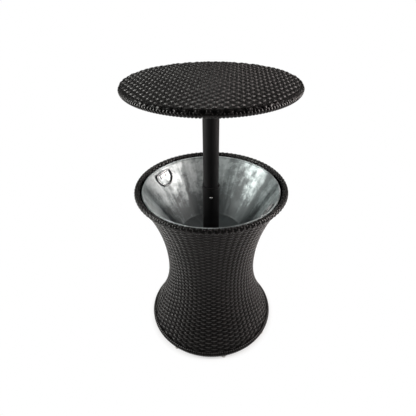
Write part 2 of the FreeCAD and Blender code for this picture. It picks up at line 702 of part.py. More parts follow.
def bar_room(name, reach, middle, width, thickness, azimuth):
    """Two crossed bars, grown by their clearance, for cutting a roll"""
    bars = []
    for index in range(2):
        bar = document.addObject("Part::Box", f"{name}_{index + 1}")
        bind(bar, "Length", f"2 * {reach}")
        bind(bar, "Width", f"{width} + 2 * weld_gap")
        bind(bar, "Height", f"{thickness} + 2 * weld_gap")
        corner = Vector(-number(reach), -number(f"{width} / 2 + weld_gap"),
                        number(f"{middle} - {thickness} / 2 - weld_gap"))
        bar.Placement = spin(azimuth + 90 * index) * Placement(corner, Rotation())
        bars.append(bar)
    room = document.addObject("Part::MultiFuse", name)
    room.Shapes = bars
    return room


# The bucket

def build_bucket(rivet_room):
    """Galvanised bucket: a flat floor, a flared wall and a rolled bead"""
    body = new_body("bucket_shell")
    hole = "(sleeve_radius + fit_gap)"
    inner_floor = f"(bucket_floor_radius - {WALL_ACROSS} + bucket_wall * {BUCKET_FLARE})"
    sketch = new_sketch(body, "bucket_section")
    draw_outline(sketch, [
        (hole, FLOOR_UNDERSIDE),
        ("bucket_floor_radius", FLOOR_UNDERSIDE),
        (BUCKET_TOP_RADIUS, BUCKET_TOP),
        (f"{BUCKET_TOP_RADIUS} - {WALL_ACROSS}", BUCKET_TOP),
        (inner_floor, BUCKET_FLOOR),
        (hole, BUCKET_FLOOR),
    ])
    revolve(body, sketch, "bucket_turned")
    round_corner(body, "bucket_corner_outside", FLOOR_UNDERSIDE, "floor_fillet + bucket_wall")
    round_corner(body, "bucket_corner_inside", BUCKET_FLOOR, "floor_fillet")
    bead = new_sketch(body, "bead_section")
    draw_circle(bead, f"{BUCKET_TOP_RADIUS} - {WALL_ACROSS} / 2", BUCKET_TOP, "bead_radius")
    revolve(body, bead, "bead")
    drill_circle(body, "bucket_bolt", BUCKET_FLOOR, "bucket_wall",
                 BOLT_CIRCLE, "bolt_radius + hole_gap", "bolt_count")
    drilled = document.addObject("Part::Cut", "bucket")
    drilled.Base = body
    drilled.Tool = rivet_room
    drilled.Label = "bucket"
    return drilled


def round_corner(body, name, height, radius):
    """Round the edge where the bucket's floor meets its wall, at one face of the floor"""
    document.recompute()
    level = number(height)
    inside = number(FLANGE_RADIUS)
    near = 0.01
    edges = []
    for index, edge in enumerate(body.Shape.Edges, start=1):
        box = edge.BoundBox
        flat = box.ZLength < near and abs(box.ZMin - level) < near
        if flat and box.XMax > inside and edge.Closed:
            edges.append(f"Edge{index}")
    base = body.Tip
    rounded = body.newObject("PartDesign::Fillet", name)
    rounded.Base = (base, edges)
    bind(rounded, "Radius", radius)


# The sleeve and what fastens it

def build_sleeve():
    """The tube that the mast slides in, with a flange bolted up against the bucket's floor"""
    bore = "(sleeve_radius - sleeve_wall)"
    body = turned("sleeve", [
        (bore, SLEEVE_BOTTOM),
        ("sleeve_radius", SLEEVE_BOTTOM),
        ("sleeve_radius", FLANGE_BOTTOM),
        (FLANGE_RADIUS, FLANGE_BOTTOM),
        (FLANGE_RADIUS, SEAL_BOTTOM),
        ("sleeve_radius", SEAL_BOTTOM),
        ("sleeve_radius", SLEEVE_TOP),
        (bore, SLEEVE_TOP),
    ])
    drill_circle(body, "sleeve_bolt", SEAL_BOTTOM, "flange_thickness",
                 BOLT_CIRCLE, "bolt_radius + hole_gap", "bolt_count")
    drill_front(body, "sleeve_button", "sleeve_radius + cut_margin")
    return body


def drill_front(body, name, depth):
    """A hole for the snap button, through the front wall of an upright tube"""
    before = solid_volume(body)
    sketch = new_sketch(body, f"{name}_hole")
    draw_circle(sketch, "0", BUTTON_HEIGHT, "button_radius + hole_gap")
    pocket(body, sketch, f"{name}_drilled", depth, upwards=True)
    check_cut(body, before)


def build_floor_seal():
    body = disc("floor_seal", SEAL_BOTTOM, "seal_thickness", FLANGE_RADIUS, "sleeve_radius + weld_gap")
    drill_circle(body, "floor_seal", f"{SEAL_BOTTOM} + seal_thickness", "seal_thickness",
                 BOLT_CIRCLE, "bolt_radius + weld_gap", "bolt_count")
    return body


def build_flange_bolts():
    """Round-headed bolts down through the bucket's floor, the seal and the flange"""
    body = new_body("flange_bolts")
    tip = f"({FLANGE_BOTTOM} - nut_height - bolt_stub)"
    sketch = new_sketch(body, "bolt_outline")
    draw_outline(sketch, [
        (BOLT_CIRCLE, tip),
        (f"{BOLT_CIRCLE} + bolt_radius", tip),
        (f"{BOLT_CIRCLE} + bolt_radius", BUCKET_FLOOR),
        (f"{BOLT_CIRCLE} + bolt_head_radius", BUCKET_FLOOR),
        (BOLT_CIRCLE, f"{BUCKET_FLOOR} + bolt_head_height"),
    ], domes={3: dome_radius("bolt_head_radius", "bolt_head_height")})
    add_axis(sketch, Vector(0, number("bolt_head_height"), 0))
    bolt = revolve(body, sketch, "bolt", axis="Axis0")
    ring = new_sketch(body, "bolt_ring", "XY_Plane")
    repeat(body, ring, [bolt], "bolts", "bolt_count")
    return body


def build_flange_nuts():
    body = new_body("flange_nuts")
    sketch = new_sketch(body, "nut_outline", "XY_Plane", FLANGE_BOTTOM)
    draw_hexagon(sketch, BOLT_CIRCLE, "nut_width")
    draw_circle(sketch, BOLT_CIRCLE, "0", "bolt_radius + weld_gap")
    nut = pad(body, sketch, "nut", "nut_height", downwards=True)
    repeat(body, sketch, [nut], "nuts", "bolt_count")
    return body


def build_collar_bush():
    """The bush in the sleeve's top end that the mast runs in"""
    bore = f"({MAST_RADIUS} + running_gap)"
    outside = f"({bore} + collar_wall)"
    return turned("collar_bush", [
        (bore, f"{SLEEVE_TOP} - collar_length"),
        (outside, f"{SLEEVE_TOP} - collar_length"),
        (outside, SLEEVE_TOP),
        ("sleeve_radius", SLEEVE_TOP),
        ("sleeve_radius", f"{SLEEVE_TOP} + collar_lip"),
        (bore, f"{SLEEVE_TOP} + collar_lip"),
    ])


# The mast and the table top

def build_mast_tube():
    body = turned("mast_tube", [
        (MAST_BORE, MAST_BOTTOM),
        (MAST_RADIUS, MAST_BOTTOM),
        (MAST_RADIUS, PLATE_BOTTOM),
        (MAST_BORE, PLATE_BOTTOM),
    ])
    drill_front(body, "mast_button", f"{MAST_RADIUS} + cut_margin")
    return body


def build_mast_slider():
    """Plastic slider plugged into the mast's lower end, running in the sleeve"""
    outside = "(sleeve_radius - sleeve_wall - running_gap)"
    plug = f"({MAST_BORE} - weld_gap)"
    bore = f"({plug} - slider_wall)"
    return turned("mast_slider", [
        (bore, f"{MAST_BOTTOM} - slider_height"),
        (outside, f"{MAST_BOTTOM} - slider_height"),
        (outside, MAST_BOTTOM),
        (plug, MAST_BOTTOM),
        (plug, f"{MAST_BOTTOM} + slider_plug"),
        (bore, f"{MAST_BOTTOM} + slider_plug"),
    ])


def build_mast_plate():
    body = disc("mast_plate", PLATE_BOTTOM, "mast_plate_thickness", f"{SCREW_CIRCLE} + plate_margin")
    drill_circle(body, "mast_plate", BAR_BOTTOM, "mast_plate_thickness",
                 SCREW_CIRCLE, "screw_radius + weld_gap", CROSSED_ARMS)
    return body


def build_plate_screws():
    """Hexagon screws up through the mast's plate into the cross bars"""
    body = new_body("plate_screws")
    heads = new_sketch(body, "screw_head_outline", "XY_Plane", PLATE_BOTTOM)
    draw_hexagon(heads, SCREW_CIRCLE, "screw_head_width")
    head = pad(body, heads, "screw_head", "screw_head_height", downwards=True)
    shanks = new_sketch(body, "screw_shank_outline", "XY_Plane", PLATE_BOTTOM)
    draw_circle(shanks, SCREW_CIRCLE, "0", "screw_radius")
    shank = pad(body, shanks, "screw_shank", f"{BAR_TOP} - {PLATE_BOTTOM}")
    repeat(body, shanks, [head, shank], "screws", CROSSED_ARMS)
    return body


def build_table_frame():
    """Crossed flat bars inside the table top's ring, drilled for the plate screws"""
    body = new_body("table_frame")
    crossed_bars(body, "table_bar", BAR_BOTTOM, TABLE_RING_RADIUS, "table_bar_width",
                 "table_bar_thickness")
    drill_circle(body, "table_bar", BAR_TOP, "table_bar_thickness",
                 SCREW_CIRCLE, "screw_radius + weld_gap", CROSSED_ARMS)
    cope(body, "table_bar", (TABLE_RING_RADIUS, TABLE_RING_HEIGHT, TABLE_TUBE_RADIUS))
    return body


def build_table_weave():
    """The woven panel of the table top, its edge fitted into the edge roll's curve"""
    rise = f"({PANEL_BOTTOM} - {TABLE_RING_HEIGHT})"
    reach = f"({TABLE_RING_RADIUS} - sqrt((table_wrap_radius + fit_gap)^2 - {rise}^2))"
    return disc("table_weave", PANEL_BOTTOM, "panel_thickness", reach)


# The snap button

def build_snap_button():
    """Domed steel button on the mast's leaf spring, out through mast and sleeve at the front"""
    body = new_body("snap_button")
    sketch = new_sketch(body, "button_outline", "YZ_Plane")
    flange_face = f"-({BUTTON_SEAT} + button_flange_thickness)"
    flange_edge = f"{BUTTON_HEIGHT} + button_radius + button_flange"
    shank_edge = f"{BUTTON_HEIGHT} + button_radius"
    draw_outline(sketch, [
        (f"-{BUTTON_SEAT}", BUTTON_HEIGHT),
        (f"-{BUTTON_SEAT}", flange_edge),
        (flange_face, flange_edge),
        (flange_face, shank_edge),
        (f"-({BUTTON_TIP} - button_dome)", shank_edge),
        (f"-{BUTTON_TIP}", BUTTON_HEIGHT),
    ], domes={4: dome_radius("button_radius", "button_dome")})
    add_axis(sketch, Vector(number("button_stand"), 0, 0))
    revolve(body, sketch, "button", axis="Axis0")
    return body


def build_button_spring():
    """Bent leaf spring inside the mast: the button's leg in front, the bearing leg behind"""
    body = new_body("button_spring")
    sketch = new_sketch(body, "spring_outline", "YZ_Plane")
    front = f"(-{BUTTON_SEAT} + weld_gap)"
    back = f"({MAST_BORE} - 2 * fit_gap)"
    top = f"({BUTTON_HEIGHT} + spring_rise)"
    knee = f"({BUTTON_HEIGHT} - spring_rise)"
    bend = f"({BUTTON_HEIGHT} - spring_depth)"
    draw_outline(sketch, [
        (front, top),
        (front, knee),
        ("-spring_rise / 2", bend),
        ("spring_rise / 2", bend),
        (back, knee),
        (back, top),
        (f"{back} - spring_sheet", top),
        (f"{back} - spring_sheet", f"{knee} + spring_sheet / 2"),
        ("(spring_rise - spring_sheet) / 2", f"{bend} + spring_sheet"),
        ("-(spring_rise - spring_sheet) / 2", f"{bend} + spring_sheet"),
        (f"{front} + spring_sheet", f"{knee} + spring_sheet / 2"),
        (f"{front} + spring_sheet", top),
    ])
    leaf = pad(body, sketch, "leaf", "spring_width")
    leaf.Midplane = True
    return body


# The bail handles

def handle_place(azimuth):
    """A handle's own frame in the table: X along its bar, Y up the bucket's wall, Z off the wall"""
    slope = math.radians(number(f"{BUCKET_SLOPE} / 1 deg"))
    height = number(f"{BUCKET_TOP} - handle_drop")
    wall = number(f"{BUCKET_TOP_RADIUS} - {WALL_ACROSS} - {BUCKET_FLARE} * handle_drop")
    reach = wall - number("handle_standoff") / math.cos(slope)
    upright = Rotation(Vector(0, 1, 0), Vector(math.sin(slope), 0, math.cos(slope)),
                       Vector(-math.cos(slope), 0, math.sin(slope)), "ZYX")
    return spin(azimuth) * Placement(Vector(reach, 0, height), upright)


def rod(name, radius, length, centre, direction):
    """A cylinder that begins at a point and runs in a direction of the handle's frame"""
    cylinder = document.addObject("Part::Cylinder", name)
    bind(cylinder, "Radius", radius)
    bind(cylinder, "Height", length)
    for axis, text in zip("xyz", centre):
        bind(cylinder, f"Placement.Base.{axis}", text)
    cylinder.Placement.Rotation = Rotation(Vector(0, 0, 1), Vector(*direction))
    return cylinder


def bow(name, radius, sweep, centre, turn):
    """Part of a wire ring in the handle's plane"""
    ring = document.addObject("Part::Torus", name)
    bind(ring, "Radius1", radius)
    bind(ring, "Radius2", "wire_radius")
    ring.Angle3 = sweep
    for axis, text in zip("xyz", centre):
        bind(ring, f"Placement.Base.{axis}", text)
    ring.Placement.Rotation = Rotation(Vector(0, 0, 1), turn)
    return ring


def build_bail(label, azimuth):
    """A D-shaped handle of round wire: a straight bar on top and a half-round bow below"""
    inner = "(handle_half_width - handle_corner)"
    side = "(handle_side - handle_corner)"
    pieces = [
        rod(f"{label}_bar", "wire_radius", f"2 * {inner}", (f"-{inner}", "0", "0"), (1, 0, 0)),
        bow(f"{label}_corner_right", "handle_corner", 90, (inner, "-handle_corner", "0"), 0),
        bow(f"{label}_corner_left", "handle_corner", 90, (f"-{inner}", "-handle_corner", "0"), 90),
        rod(f"{label}_side_right", "wire_radius", side,
            ("handle_half_width", "-handle_corner", "0"), (0, -1, 0)),
        rod(f"{label}_side_left", "wire_radius", side,
            ("-handle_half_width", "-handle_corner", "0"), (0, -1, 0)),
        bow(f"{label}_bow", "handle_half_width", 180, ("0", "-handle_side", "0"), 180),
    ]
    bail = document.addObject("Part::MultiFuse", label)
    bail.Shapes = pieces
    bail.Label = label
    lean = Placement(Vector(), Rotation(Vector(1, 0, 0), number("handle_lean")))
    bail.Placement = handle_place(azimuth) * lean
    return bail


def build_strap(label, azimuth):
    """A strap of sheet folded round a handle's bar, both ends riveted to the wall below it"""
    outer = "(wire_radius + running_gap + strap_sheet)"
    loop = rod(f"{label}_loop", outer, "2 * strap_half_width", ("-strap_half_width", "0", "0"), (1, 0, 0))
    legs = document.addObject("Part::Box", f"{label}_legs")
    bind(legs, "Length", "2 * strap_half_width")
    bind(legs, "Width", "strap_length")
    bind(legs, "Height", "2 * strap_sheet")
    bind(legs, "Placement.Base.x", "-strap_half_width")
    bind(legs, "Placement.Base.y", "-strap_length")
    bind(legs, "Placement.Base.z", STRAP_BACK)
    folded = document.addObject("Part::MultiFuse", f"{label}_folded")
    folded.Shapes = [loop, legs]
    holes = [rod(f"{label}_bore", "wire_radius + running_gap", "2 * (strap_half_width + cut_margin)",
                 ("-strap_half_width - cut_margin", "0", "0"), (1, 0, 0))]
    for name, place in rivet_places():
        holes.append(rod(f"{label}_hole_{name}", "rivet_radius + weld_gap",
                         "2 * (strap_sheet + cut_margin)",
                         (place, "-rivet_drop", f"{STRAP_BACK} - cut_margin"), (0, 0, 1)))
    tools = document.addObject("Part::MultiFuse", f"{label}_holes")
    tools.Shapes = holes
    strap = document.addObject("Part::Cut", label)
    strap.Base = folded
    strap.Tool = tools
    strap.Label = label
    strap.Placement = handle_place(azimuth)
    return strap


def rivet_places():
    """Each strap's two rivets, as a name and a place along the handle's bar"""
    return (("left", "-rivet_side"), ("right", "rivet_side"))


def build_rivet_room(azimuths):
    """Rods through the bucket's wall where the rivets go"""
    groups = []
    for index, azimuth in enumerate(azimuths, start=1):
        rods = [rod(f"rivet_room_{index}_{name}", "rivet_radius + weld_gap", RIVET_LENGTH,
                    (place, "-rivet_drop", RIVET_BACK), (0, 0, 1))
                for name, place in rivet_places()]
        group = document.addObject("Part::Compound", f"rivet_room_{index}")
        group.Links = rods
        group.Placement = handle_place(azimuth)
        groups.append(group)
    room = document.addObject("Part::Compound", "rivet_room")
    room.Links = groups
    return room


def rivet_end(name, wide, narrow, height, place, level):
    """A rivet's head or tail, standing off the wall from a level of the handle's frame"""
    end = document.addObject("Part::Cone", name)
    bind(end, "Radius1", wide)
    bind(end, "Radius2", narrow)
    bind(end, "Height", height)
    bind(end, "Placement.Base.x", place)
    bind(end, "Placement.Base.y", "-rivet_drop")
    bind(end, "Placement.Base.z", level)
    return end


def build_rivets(azimuths):
    """Domed rivets through each strap and the bucket's wall, with a flat tail behind it"""
    rivets = []
    for index, azimuth in enumerate(azimuths, start=1):
        for side, place in rivet_places():
            name = f"rivet_{index}_{side}"
            shank = rod(f"{name}_shank", "rivet_radius", RIVET_LENGTH,
                        (place, "-rivet_drop", RIVET_BACK), (0, 0, 1))
            head = rivet_end(f"{name}_head", "rivet_head_radius", "rivet_crown_radius",
                             "rivet_head_height", place, RIVET_FACE)
            tail = rivet_end(f"{name}_tail", "rivet_tail_radius", "rivet_tail_radius",
                             "rivet_tail_height", place, f"{RIVET_BACK} - rivet_tail_height")
            rivet = document.addObject("Part::MultiFuse", name)
            rivet.Shapes = [shank, head, tail]
            rivet.Placement = handle_place(azimuth)
            rivets.append(rivet)
    group = document.addObject("Part::Compound", "strap_rivets")
    group.Links = rivets
    group.Label = "strap_rivets"
    return group


# The whole table

def build_stand():
    rib_room = build_ribs("rib_room", "rib_radius + weld_gap")
    foot_bars = bar_room("foot_bar_room", FOOT_RING_RADIUS, FOOT_RING_HEIGHT,
                         "cross_bar_width", "cross_bar_thickness", number("cross_azimuth"))
    return [
        build_glides(),
        ring_tube("foot_ring", FOOT_RING_RADIUS, FOOT_RING_HEIGHT, RING_TUBE_RADIUS),
        ring_tube("rim_ring", RIM_RING_RADIUS, RIM_RING_HEIGHT, RING_TUBE_RADIUS),
        *build_ribs("frame_rib", "rib_radius",
                    (FOOT_RING_RADIUS, FOOT_RING_HEIGHT, RING_TUBE_RADIUS),
                    (RIM_RING_RADIUS, RIM_RING_HEIGHT, RING_TUBE_RADIUS)),
        build_waist_hoop(),
        build_cradle(),
        build_buffers(),
        build_foot_cross(),
        build_guide_bush(),
        build_stand_weave(),
        roll("foot_roll", FOOT_RING_RADIUS, FOOT_RING_HEIGHT, "wrap_radius", RING_TUBE_RADIUS,
             [*rib_room, foot_bars]),
        roll("rim_roll", RIM_RING_RADIUS, RIM_RING_HEIGHT, "wrap_radius", RING_TUBE_RADIUS, rib_room),
    ]


def build_bucket_and_handles():
    azimuths = (number("handle_azimuth"), number("handle_azimuth + 180"))
    parts = [
        build_bucket(build_rivet_room(azimuths)),
        build_sleeve(),
        build_floor_seal(),
        build_flange_bolts(),
        build_flange_nuts(),
        build_collar_bush(),
    ]
    for name, azimuth in zip(("left", "right"), azimuths):
        parts.append(build_bail(f"bail_{name}", azimuth))
        parts.append(build_strap(f"bail_strap_{name}", azimuth))
    parts.append(build_rivets(azimuths))
    return parts


def build_table():
    bars = bar_room("table_bar_room", TABLE_RING_RADIUS, BAR_MIDDLE,
                    "table_bar_width", "table_bar_thickness", 0)
    return [
        build_mast_tube(),
        build_mast_slider(),
        build_mast_plate(),
        build_plate_screws(),
        build_table_frame(),
        ring_tube("table_ring", TABLE_RING_RADIUS, TABLE_RING_HEIGHT, TABLE_TUBE_RADIUS),
        build_table_weave(),
        roll("table_roll", TABLE_RING_RADIUS, TABLE_RING_HEIGHT, "table_wrap_radius",
             TABLE_TUBE_RADIUS, [bars]),
        build_snap_button(),
        build_button_spring(),
    ]


def check(parts):
    """Stop if any object failed or any part is empty or broken"""
    document.recompute()
    for item in document.Objects:
        if "Invalid" in item.State or "Error" in item.State:
            raise RuntimeError(f"{item.Label} failed: {item.State}")
    for part in parts:
        if part.Shape.isNull() or not part.Shape.isValid() or not part.Shape.Solids:
            raise RuntimeError(f"{part.Label} has no valid solid")


def export(parts):
    os.makedirs("parts", exist_ok=True)
    for part in parts:
        part.Shape.exportStep(f"parts/{part.Label}.step")
        print(f"{part.Label}: {len(part.Shape.Solids)} solids, {part.Shape.Volume / 1000:.2f} cm3")


table_parts = build_stand() + build_bucket_and_handles() + build_table()
check(table_parts)
export(table_parts)
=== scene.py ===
"""Looks of a round patio table that is also a drinks cooler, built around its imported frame.

The frame gives the steel, the mast, the fastenings and every place. This file weaves the stand,
the rim, the foot and the top from flat strands, turns the bucket, and gives each piece its finish.
Metres, +Z up, the origin on the floor at the middle of the foot."""

import math

import bpy
import numpy as np
from mathutils import Euler, Matrix, Vector


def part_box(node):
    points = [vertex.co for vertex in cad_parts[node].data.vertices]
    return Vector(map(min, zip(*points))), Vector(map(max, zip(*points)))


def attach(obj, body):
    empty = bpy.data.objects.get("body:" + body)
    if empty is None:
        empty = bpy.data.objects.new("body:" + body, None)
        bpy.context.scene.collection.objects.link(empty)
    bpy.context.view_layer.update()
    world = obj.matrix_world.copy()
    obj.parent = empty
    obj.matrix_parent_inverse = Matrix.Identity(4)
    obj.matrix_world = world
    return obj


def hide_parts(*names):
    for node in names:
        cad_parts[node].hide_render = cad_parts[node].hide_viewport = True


bl_info = {
    "name": "Cooler Table Looks",
    "version": (1, 0, 0),
    "blender": (4, 5, 0),
    "location": "View3D > Sidebar > Cooler Table",
    "description": "Weaves, turns and finishes the pieces of a patio cooler table",
    "category": "Object",
}

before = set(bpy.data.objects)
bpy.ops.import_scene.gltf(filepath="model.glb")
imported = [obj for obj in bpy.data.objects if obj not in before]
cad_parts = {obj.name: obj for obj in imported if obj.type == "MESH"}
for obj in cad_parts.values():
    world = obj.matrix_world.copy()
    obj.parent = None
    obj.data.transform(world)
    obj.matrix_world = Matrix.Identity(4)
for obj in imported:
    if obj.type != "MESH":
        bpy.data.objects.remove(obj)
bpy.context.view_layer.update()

# The frame's own places

ROLL_RADIUS = (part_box("foot_roll")[1].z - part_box("foot_roll")[0].z) / 2
RIM_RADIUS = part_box("rim_roll")[1].x - ROLL_RADIUS
RIM_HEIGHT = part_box("rim_roll")[1].z - ROLL_RADIUS
FOOT_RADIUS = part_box("foot_roll")[1].x - ROLL_RADIUS
FOOT_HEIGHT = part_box("foot_roll")[1].z - ROLL_RADIUS
EDGE_ROLL_RADIUS = (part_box("table_roll")[1].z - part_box("table_roll")[0].z) / 2
EDGE_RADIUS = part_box("table_roll")[1].x - EDGE_ROLL_RADIUS
EDGE_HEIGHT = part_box("table_roll")[1].z - EDGE_ROLL_RADIUS
WEAVE_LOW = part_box("stand_weave")[0].z
WEAVE_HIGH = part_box("stand_weave")[1].z
BUCKET_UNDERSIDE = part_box("bucket")[0].z
SLEEVE_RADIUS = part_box("collar_bush")[1].x

QUARTER = math.pi / 2

# Steps along curves, and the rings on the bucket's floor as shares of its radius

PROFILE_SAMPLES = 4000
ROW_SAMPLES = 1200
STEPS_PER_STAKE = 6
WINDING_STEPS = 16
WINDING_TURN = np.arange(WINDING_STEPS) * math.tau / WINDING_STEPS
CROSS_STEP = 0.0028
BROAD_STEP = 0.0026
CORNER_STEPS = 8
WALL_STEPS = 14
BEAD_STEPS = 22
FLOOR_RINGS = (0.45, 0.7, 0.9)

# A strand's width, thickness and crown

RIM_STRAND = (0.0074, 0.0010, 0.0007)
RIM_CORD = (0.0056, 0.0011, 0.0004)
FOOT_STRAND = (0.0077, 0.0011, 0.0003)
EDGE_STRAND = (0.0074, 0.0013, 0.0008)
CROSS_STRAND = (0.0076, 0.0010, 0.0005)
BROAD_THICKNESS = 0.0010
BROAD_CROWN = 0.0007

# The woven top: how far its face lies under the top of the edge roll and round it, how far down
# the roll it turns and reaches, as shares of the roll's radius, and how far a strand moves up
# and down

PANEL_SUNK = 0.0004
EDGE_SUNK = 0.0002
STEEPEST = 0.985
PANEL_REACH = 0.965
TOP_LIFT = 0.0010

# A section's shape. Its shoulder's place is a share of half the width, and the shoulder's rise a
# share of the crown. Its edge and its back lie in by shares of half the thickness.

FLAT = (0.66, 0.55, 0.4, 1.0)
ROUNDED = (0.72, 0.45, 1.0, 1.5)

# How bright each copy of the wicker is beside the strand's own colours, darkened as painted shade
# on the rim, foot, edge and top, and how much of its skin is dulled

WICKERS = {
    "wicker_weaver": (1.0, 0.0),
    "wicker_stake": (1.0, 0.0),
    "wicker_rim": (0.40, 0.20),
    "wicker_foot": (0.50, 0.45),
    "wicker_edge": (0.55, 0.55),
    "wicker_top": (0.8, 0.5),
}
DUST = (0.10, 0.09, 0.08, 1.0)
# The near-black of the painted shade where a strand lies deep in the weave
PAINTED_SHADE = (0.0012, 0.0011, 0.0011, 1.0)

# How deep a stake lies in painted shade, and how much deeper its edges, with 1 as the deepest

STAKE_SHADE = 0.6
STAKE_EDGE_SHADE = 0.7

# A finish's name, colour and roughness, then the strength or scale of its grain, and its nodes

COATS = (
    ("frame_powder", (0.006, 0.0055, 0.0056), 0.42, 0.35,
     [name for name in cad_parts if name.startswith("frame_rib_")]
     + ["foot_ring", "rim_ring", "waist_hoop", "bucket_cradle", "foot_cross", "table_frame",
        "table_ring", "mast_plate"]),
    ("mast_powder", (0.0040, 0.0037, 0.0042), 0.46, 0.2, ["mast_tube", "sleeve"]),
)
METALS = (
    ("handle_zinc", (0.33, 0.34, 0.35), 0.30, (90.0, 90.0, 90.0), ["bail_left", "bail_right"]),
    ("strap_zinc", (0.50, 0.52, 0.53), 0.36, (30.0, 30.0, 160.0),
     ["bail_strap_left", "bail_strap_right"]),
    ("bright_zinc", (0.62, 0.62, 0.60), 0.30, (70.0, 70.0, 70.0),
     ["strap_rivets", "flange_bolts", "flange_nuts", "plate_screws"]),
    ("bright_button", (0.62, 0.62, 0.61), 0.28, (120.0, 120.0, 120.0), ["snap_button"]),
    ("spring_blue", (0.42, 0.44, 0.48), 0.24, (160.0, 160.0, 12.0), ["button_spring"]),
)
MOULDINGS = (
    ("black_nylon", (0.004, 0.004, 0.0045), 0.50, 700.0,
     ["guide_bush", "collar_bush", "mast_slider"]),
    ("natural_nylon", (0.72, 0.71, 0.68), 0.45, 700.0, ["foot_glides"]),
    ("black_rubber", (0.020, 0.020, 0.021), 0.62, 900.0, ["floor_seal", "cradle_buffers"]),
)

# Studio

WHITE = (1.0, 1.0, 1.0, 1.0)
FLOOR_GREY = (0.86, 0.86, 0.86, 1.0)
FLOOR_REACH = 30.0
LEFT_LAMP = (-1.5, -0.10, 1.1)
RIGHT_LAMP = (1.5, 0.0, 1.1)
SIDE_AIM = (0.0, 0.0, 0.45)
SIDE_SIZE = (0.5, 1.2)
BACK_LEFT_LAMP = (-0.42, 1.5, 1.75)
BACK_RIGHT_LAMP = (0.42, 1.5, 1.75)
BACK_AIM = (0.0, 0.0, 0.86)
BACK_SIZE = (0.35, 0.35)

# Squares of the distances between which the floor's shadow fades to white

SHADOW_NEAR = 0.035
SHADOW_FAR = 0.060


# Shader maths

class Socket:
    """One output of a finish's nodes, which can stand in a sum, a product and so on"""

    def __init__(self, finish, output):
        self.finish = finish
        self.output = output

    def maths(self, operation, first, second=0.0):
        return self.finish.node("ShaderNodeMath", {"operation": operation}, {0: first, 1: second})

    def __add__(self, other):
        return self.maths("ADD", self, other)

    def __sub__(self, other):
        return self.maths("SUBTRACT", self, other)

    def __mul__(self, other):
        return self.maths("MULTIPLY", self, other)

    def __rsub__(self, other):
        return self.maths("SUBTRACT", other, self)

    __radd__ = __add__
    __rmul__ = __mul__

    def sine(self):
        return self.maths("SINE", self)

    def largest(self, other):
        return self.maths("MAXIMUM", self, other)

    def step(self, low, high, start=0.0, end=1.0):
        """This value, carried smoothly from low..high to start..end"""
        settings = {"interpolation_type": "SMOOTHSTEP"}
        inputs = {"Value": self, "From Min": low, "From Max": high, "To Min": start, "To Max": end}
        return self.finish.node("ShaderNodeMapRange", settings, inputs)


class Finish:
    """A material or a world under construction"""

    def __init__(self, owner):
        owner.use_nodes = True
        self.owner = owner
        self.tree = owner.node_tree
        self.tree.nodes.clear()

    def node(self, kind, settings=None, inputs=None, output=0):
        """Add a node, set it up, fill its sockets, and give one of its outputs"""
        made = self.tree.nodes.new(kind)
        for name, value in (settings or {}).items():
            if name == "stops":
                self.set_stops(made.color_ramp, value)
            else:
                setattr(made, name, value)
        for name, value in (inputs or {}).items():
            if isinstance(value, Socket):
                self.tree.links.new(value.output, made.inputs[name])
            else:
                made.inputs[name].default_value = value
        return Socket(self, made.outputs[output]) if len(made.outputs) else None

    @staticmethod
    def set_stops(ramp, stops):
        while len(ramp.elements) < len(stops):
            ramp.elements.new(1.0)
        for element, (place, colour) in zip(ramp.elements, stops):
            element.position = place
            element.color = colour

    def place(self):
        return self.node("ShaderNodeTexCoord", output="Object")

    def stretched(self, vector, scale):
        return self.node("ShaderNodeMapping", None, {"Vector": vector, "Scale": scale})

    def vector(self, operation, first, second):
        return self.node("ShaderNodeVectorMath", {"operation": operation}, {0: first, 1: second})

    def around(self, place, turns, rise):
        """A pattern's place round the axis and up it, for what streams up a turned wall"""
        flat = self.vector("MULTIPLY", place, (1.0, 1.0, 0.0))
        facing = self.node("ShaderNodeVectorMath", {"operation": "NORMALIZE"}, {0: flat})
        sideways = self.vector("MULTIPLY", facing, (turns, turns, 0.0))
        return self.vector("ADD", sideways, self.vector("MULTIPLY", place, (0.0, 0.0, rise)))

    def part(self, vector, axis):
        return self.node("ShaderNodeSeparateXYZ", None, {0: vector}, axis)

    def noise(self, vector, scale, detail=2.0, roughness=0.5):
        inputs = {"Vector": vector, "Scale": scale, "Detail": detail, "Roughness": roughness}
        return self.node("ShaderNodeTexNoise", None, inputs)

    def cells(self, vector, scale):
        """A colour for each cell of a pattern of cells"""
        inputs = {"Vector": vector, "Scale": scale}
        return self.node("ShaderNodeTexVoronoi", {"feature": "F1"}, inputs, "Color")

    def attribute(self, name):
        return self.node("ShaderNodeAttribute", {"attribute_name": name}, None, "Fac")

    def mix(self, factor, first, second):
        inputs = {0: factor, 6: first, 7: second}
        return self.node("ShaderNodeMix", {"data_type": "RGBA"}, inputs, 2)

    def bump(self, height, strength, distance):
        inputs = {"Height": height, "Strength": strength, "Distance": distance}
        return self.node("ShaderNodeBump", None, inputs)

    def surface(self, inputs):
        """Close the material with a principled shader"""
        shader = self.node("ShaderNodeBsdfPrincipled", None, inputs)
        self.node("ShaderNodeOutputMaterial", None, {"Surface": shader})
        return self.owner


def new_finish(name):
    return Finish(bpy.data.materials.new(name))


def opaque(colour, brightness=1.0, lift=0.0):
    """A colour made brighter or darker, with its alpha"""
    return [min(1.0, value * brightness + lift) for value in colour] + [1.0]


